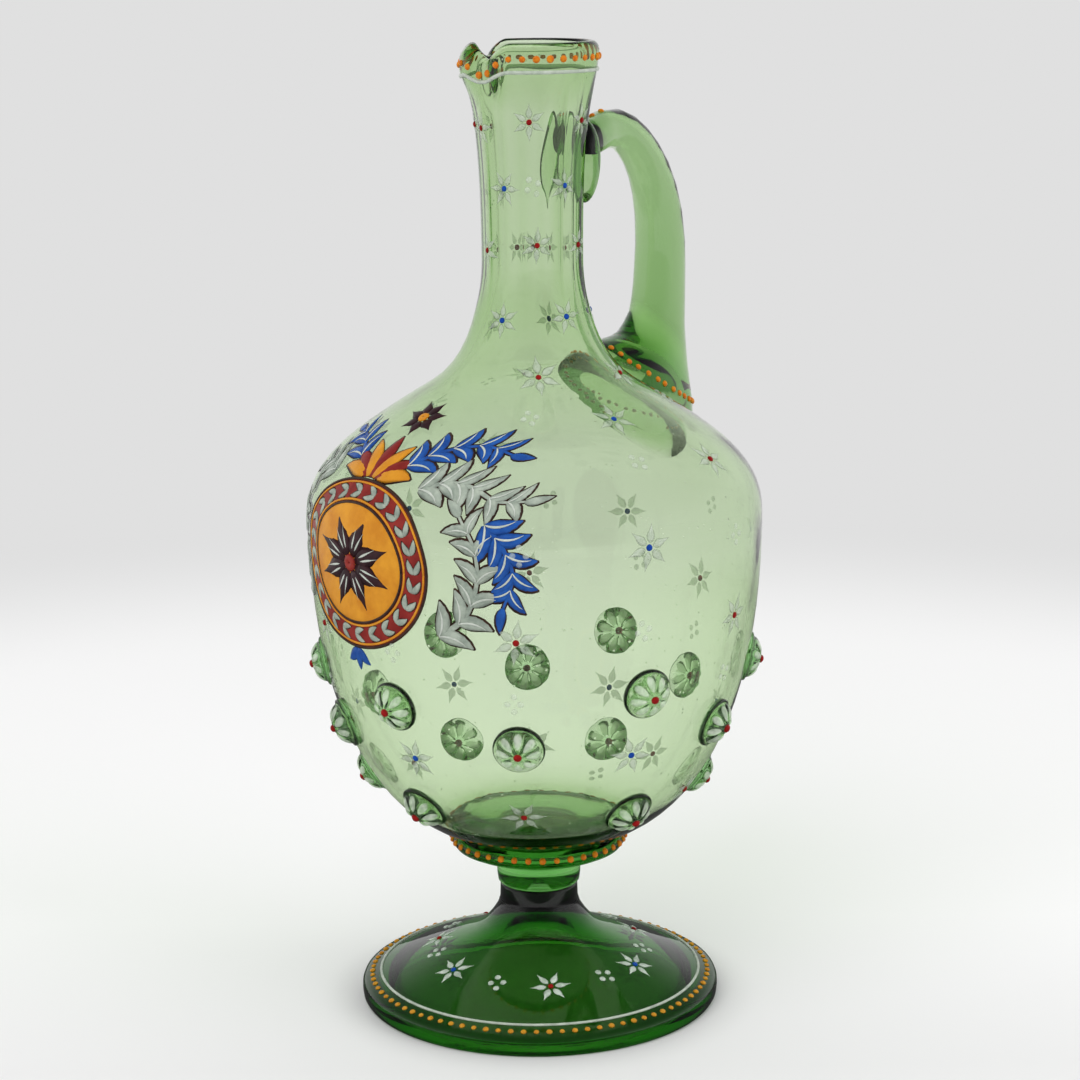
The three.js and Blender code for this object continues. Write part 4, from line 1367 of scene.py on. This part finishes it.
class CARAFE_OT_stage(bpy.types.Operator):
    """Lay the pale floor and set the lamps, the backdrop and the camera"""
    bl_idname = "carafe.stage"
    bl_label = "Stage"

    def execute(self, context):
        stage = context.scene.carafe_stage
        context.scene.view_settings.view_transform = "Standard"
        self.floor(stage)
        self.world(context.scene, stage)
        self.lamps()
        self.camera(context.scene, stage)
        return {"FINISHED"}

    def floor(self, stage):
        """A wide pale floor with painted shade: darker near the camera, and a painted shadow
        round the foot.

        It looks dark in reflections, and fades to the backdrop with distance.
        """
        clear_selection()
        bpy.ops.mesh.primitive_circle_add(vertices=96, radius=9.0, fill_type="NGON")
        floor = name_new("floor")
        material, tree, out = new_material("Pale floor")
        place = feed(tree, "TexCoord", (-900, 0), output="Object")
        path = add_node(tree, "LightPath", (-900, 500))
        away = feed(tree, "VectorMath", (-700, 0), {0: place}, "Value", operation="LENGTH")
        ahead = reach_along(tree, (-700, 250), place, AHEAD)
        # painted shade: the floor's colour darkens towards the camera
        shade = map_range(tree, (-500, 250), ahead, -0.06, 0.06, 0.885, 1.0)
        # painted shadow: the floor's colour darkens in a ring round the foot
        painted_contact_shadow = map_range(tree, (-500, 0), away, 0.044, 0.068, 0.8, 1.0, "SMOOTHSTEP")
        mirrored = map_range(tree, (-500, 500), reflected_only(tree, (-700, 500), path),
                             0.0, 1.0, 1.0, 0.14)
        # the painted shade and the painted shadow together
        near = calculate(tree, (-300, 150), "MULTIPLY", shade, painted_contact_shadow)
        dimmed = calculate(tree, (-300, 350), "MULTIPLY", near, mirrored)
        tone = feed(tree, "VectorMath", (-150, 250), {0: stage.floor, "Scale": dimmed},
                    operation="SCALE")
        paper = feed(tree, "BsdfDiffuse", (50, 200), {"Color": tone})
        glow = feed(tree, "Emission", (50, 0), {
            "Color": (*(stage.backdrop,) * 3, 1), "Strength": 1.0})
        far = map_range(tree, (-500, -250), away, 0.42, 0.68, step="SMOOTHSTEP")
        blend = feed(tree, "MixShader", (250, 0), {0: far, 1: paper, 2: glow})
        tree.links.new(blend, out["Surface"])
        floor.data.materials.append(material)

    def world(self, scene, stage):
        """A pale surround: even as the camera sees it, darker behind the camera.

        Reflections show a darker ceiling too.
        """
        world = bpy.data.worlds.new("Studio")
        scene.world = world
        world.use_nodes = True
        tree = world.node_tree
        back = tree.nodes["Background"]
        place = feed(tree, "TexCoord", (-900, 0), output="Generated")
        path = add_node(tree, "LightPath", (-900, 300))
        ahead = reach_along(tree, (-700, 0), place, AHEAD)
        around = map_range(tree, (-500, 0), ahead, -0.98, -0.4, 0.16, stage.backdrop,
                           "SMOOTHSTEP")
        up = reach_along(tree, (-700, -250), place, (0.0, 0.0, 1.0))
        ceiling = map_range(tree, (-500, -250), up, 0.2, 0.7, 0.0, 0.8, "SMOOTHSTEP")
        cut = calculate(tree, (-300, -250), "MULTIPLY", ceiling,
                        reflected_only(tree, (-500, 450), path))
        kept = calculate(tree, (-150, -250), "SUBTRACT", 1.0, cut)
        lit = calculate(tree, (-150, 0), "MULTIPLY", around, kept)
        seen = calculate(tree, (-500, 250), "MULTIPLY", path.outputs["Is Camera Ray"],
                         stage.backdrop)
        tree.links.new(calculate(tree, (0, 150), "MAXIMUM", seen, lit), back.inputs["Color"])
        back.inputs["Strength"].default_value = 1.0

    def lamps(self):
        """Two large soft lamps, aimed at the middle of the carafe. Places are in metres."""
        middle = Vector((0, 0, 0.14))
        for name, place, size, power in (
                ("Key lamp", (-1.5, -0.3, 1.5), 1.4, 17.0),
                ("Fill lamp", (0.3, -1.6, 1.1), 1.2, 9.0)):
            lamp = bpy.data.lights.new(name, "AREA")
            lamp.size, lamp.energy = size, power
            holder = bpy.data.objects.new(name, lamp)
            bpy.context.collection.objects.link(holder)
            holder.location = place
            holder.visible_glossy = holder.visible_transmission = False
            aim = middle - Vector(place)
            holder.rotation_euler = aim.to_track_quat("-Z", "Y").to_euler()

    def camera(self, scene, stage):
        """The photograph's own viewing angle. The distance and height are in metres."""
        data = bpy.data.cameras.new("Camera")
        data.sensor_width, data.lens = 36.0, stage.lens
        data.clip_start, data.clip_end = 0.01, 50.0
        camera = bpy.data.objects.new("Camera", data)
        bpy.context.collection.objects.link(camera)
        pitch, yaw, roll, distance, height = 0.21747, 0.00168, 0.0108, 0.811, 0.3193
        forward = Vector((0, math.cos(pitch), -math.sin(pitch)))
        right = Vector((1, 0, 0))
        up = Vector((0, math.sin(pitch), math.cos(pitch)))
        forward, right = forward + right * yaw, right - forward * yaw
        right, up = right - up * roll, up + right * roll
        turn = Matrix((right.normalized(), up.normalized(), -forward.normalized())).transposed()
        place = Matrix.Translation(Vector((0, -distance, height))) @ turn.to_4x4()
        camera.matrix_world = Matrix.Rotation(HEADING - math.pi / 2, 4, "Z") @ place
        scene.camera = camera


class CARAFE_PT_panel(bpy.types.Panel):
    """Steps of making the carafe, and its settings"""
    bl_label = "Glass carafe"
    bl_idname = "CARAFE_PT_panel"
    bl_space_type = "VIEW_3D"
    bl_region_type = "UI"
    bl_category = "Carafe"

    def draw(self, context):
        layout = self.layout
        for step in STEPS:
            layout.operator(step.bl_idname)
        for settings in (context.scene.carafe_glass, context.scene.carafe_enamel,
                         context.scene.carafe_stage):
            box = layout.box()
            for field in settings.__annotations__:
                box.prop(settings, field)


STEPS = (
    CARAFE_OT_vessel, CARAFE_OT_collar, CARAFE_OT_foot, CARAFE_OT_handle,
    CARAFE_OT_rosettes, CARAFE_OT_beads, CARAFE_OT_stars, CARAFE_OT_medallion,
    CARAFE_OT_stage,
)
SETTINGS = (CarafeGlass, CarafeEnamel, CarafeStage)


def register():
    """Make the settings, operators and panel known."""
    for group in SETTINGS + STEPS + (CARAFE_PT_panel,):
        bpy.utils.register_class(group)
    bpy.types.Scene.carafe_glass = bpy.props.PointerProperty(type=CarafeGlass)
    bpy.types.Scene.carafe_enamel = bpy.props.PointerProperty(type=CarafeEnamel)
    bpy.types.Scene.carafe_stage = bpy.props.PointerProperty(type=CarafeStage)


def unregister():
    """Take them away again."""
    for name in ("carafe_glass", "carafe_enamel", "carafe_stage"):
        delattr(bpy.types.Scene, name)
    for group in reversed(SETTINGS + STEPS + (CARAFE_PT_panel,)):
        bpy.utils.unregister_class(group)


def main():
    """Make the whole carafe and its stage."""
    register()
    bpy.ops.carafe.vessel()
    bpy.ops.carafe.collar()
    bpy.ops.carafe.foot()
    bpy.ops.carafe.handle()
    bpy.ops.carafe.rosettes()
    bpy.ops.carafe.beads()
    bpy.ops.carafe.stars()
    bpy.ops.carafe.medallion()
    bpy.ops.carafe.stage()


if __name__ == "__main__":
    main()
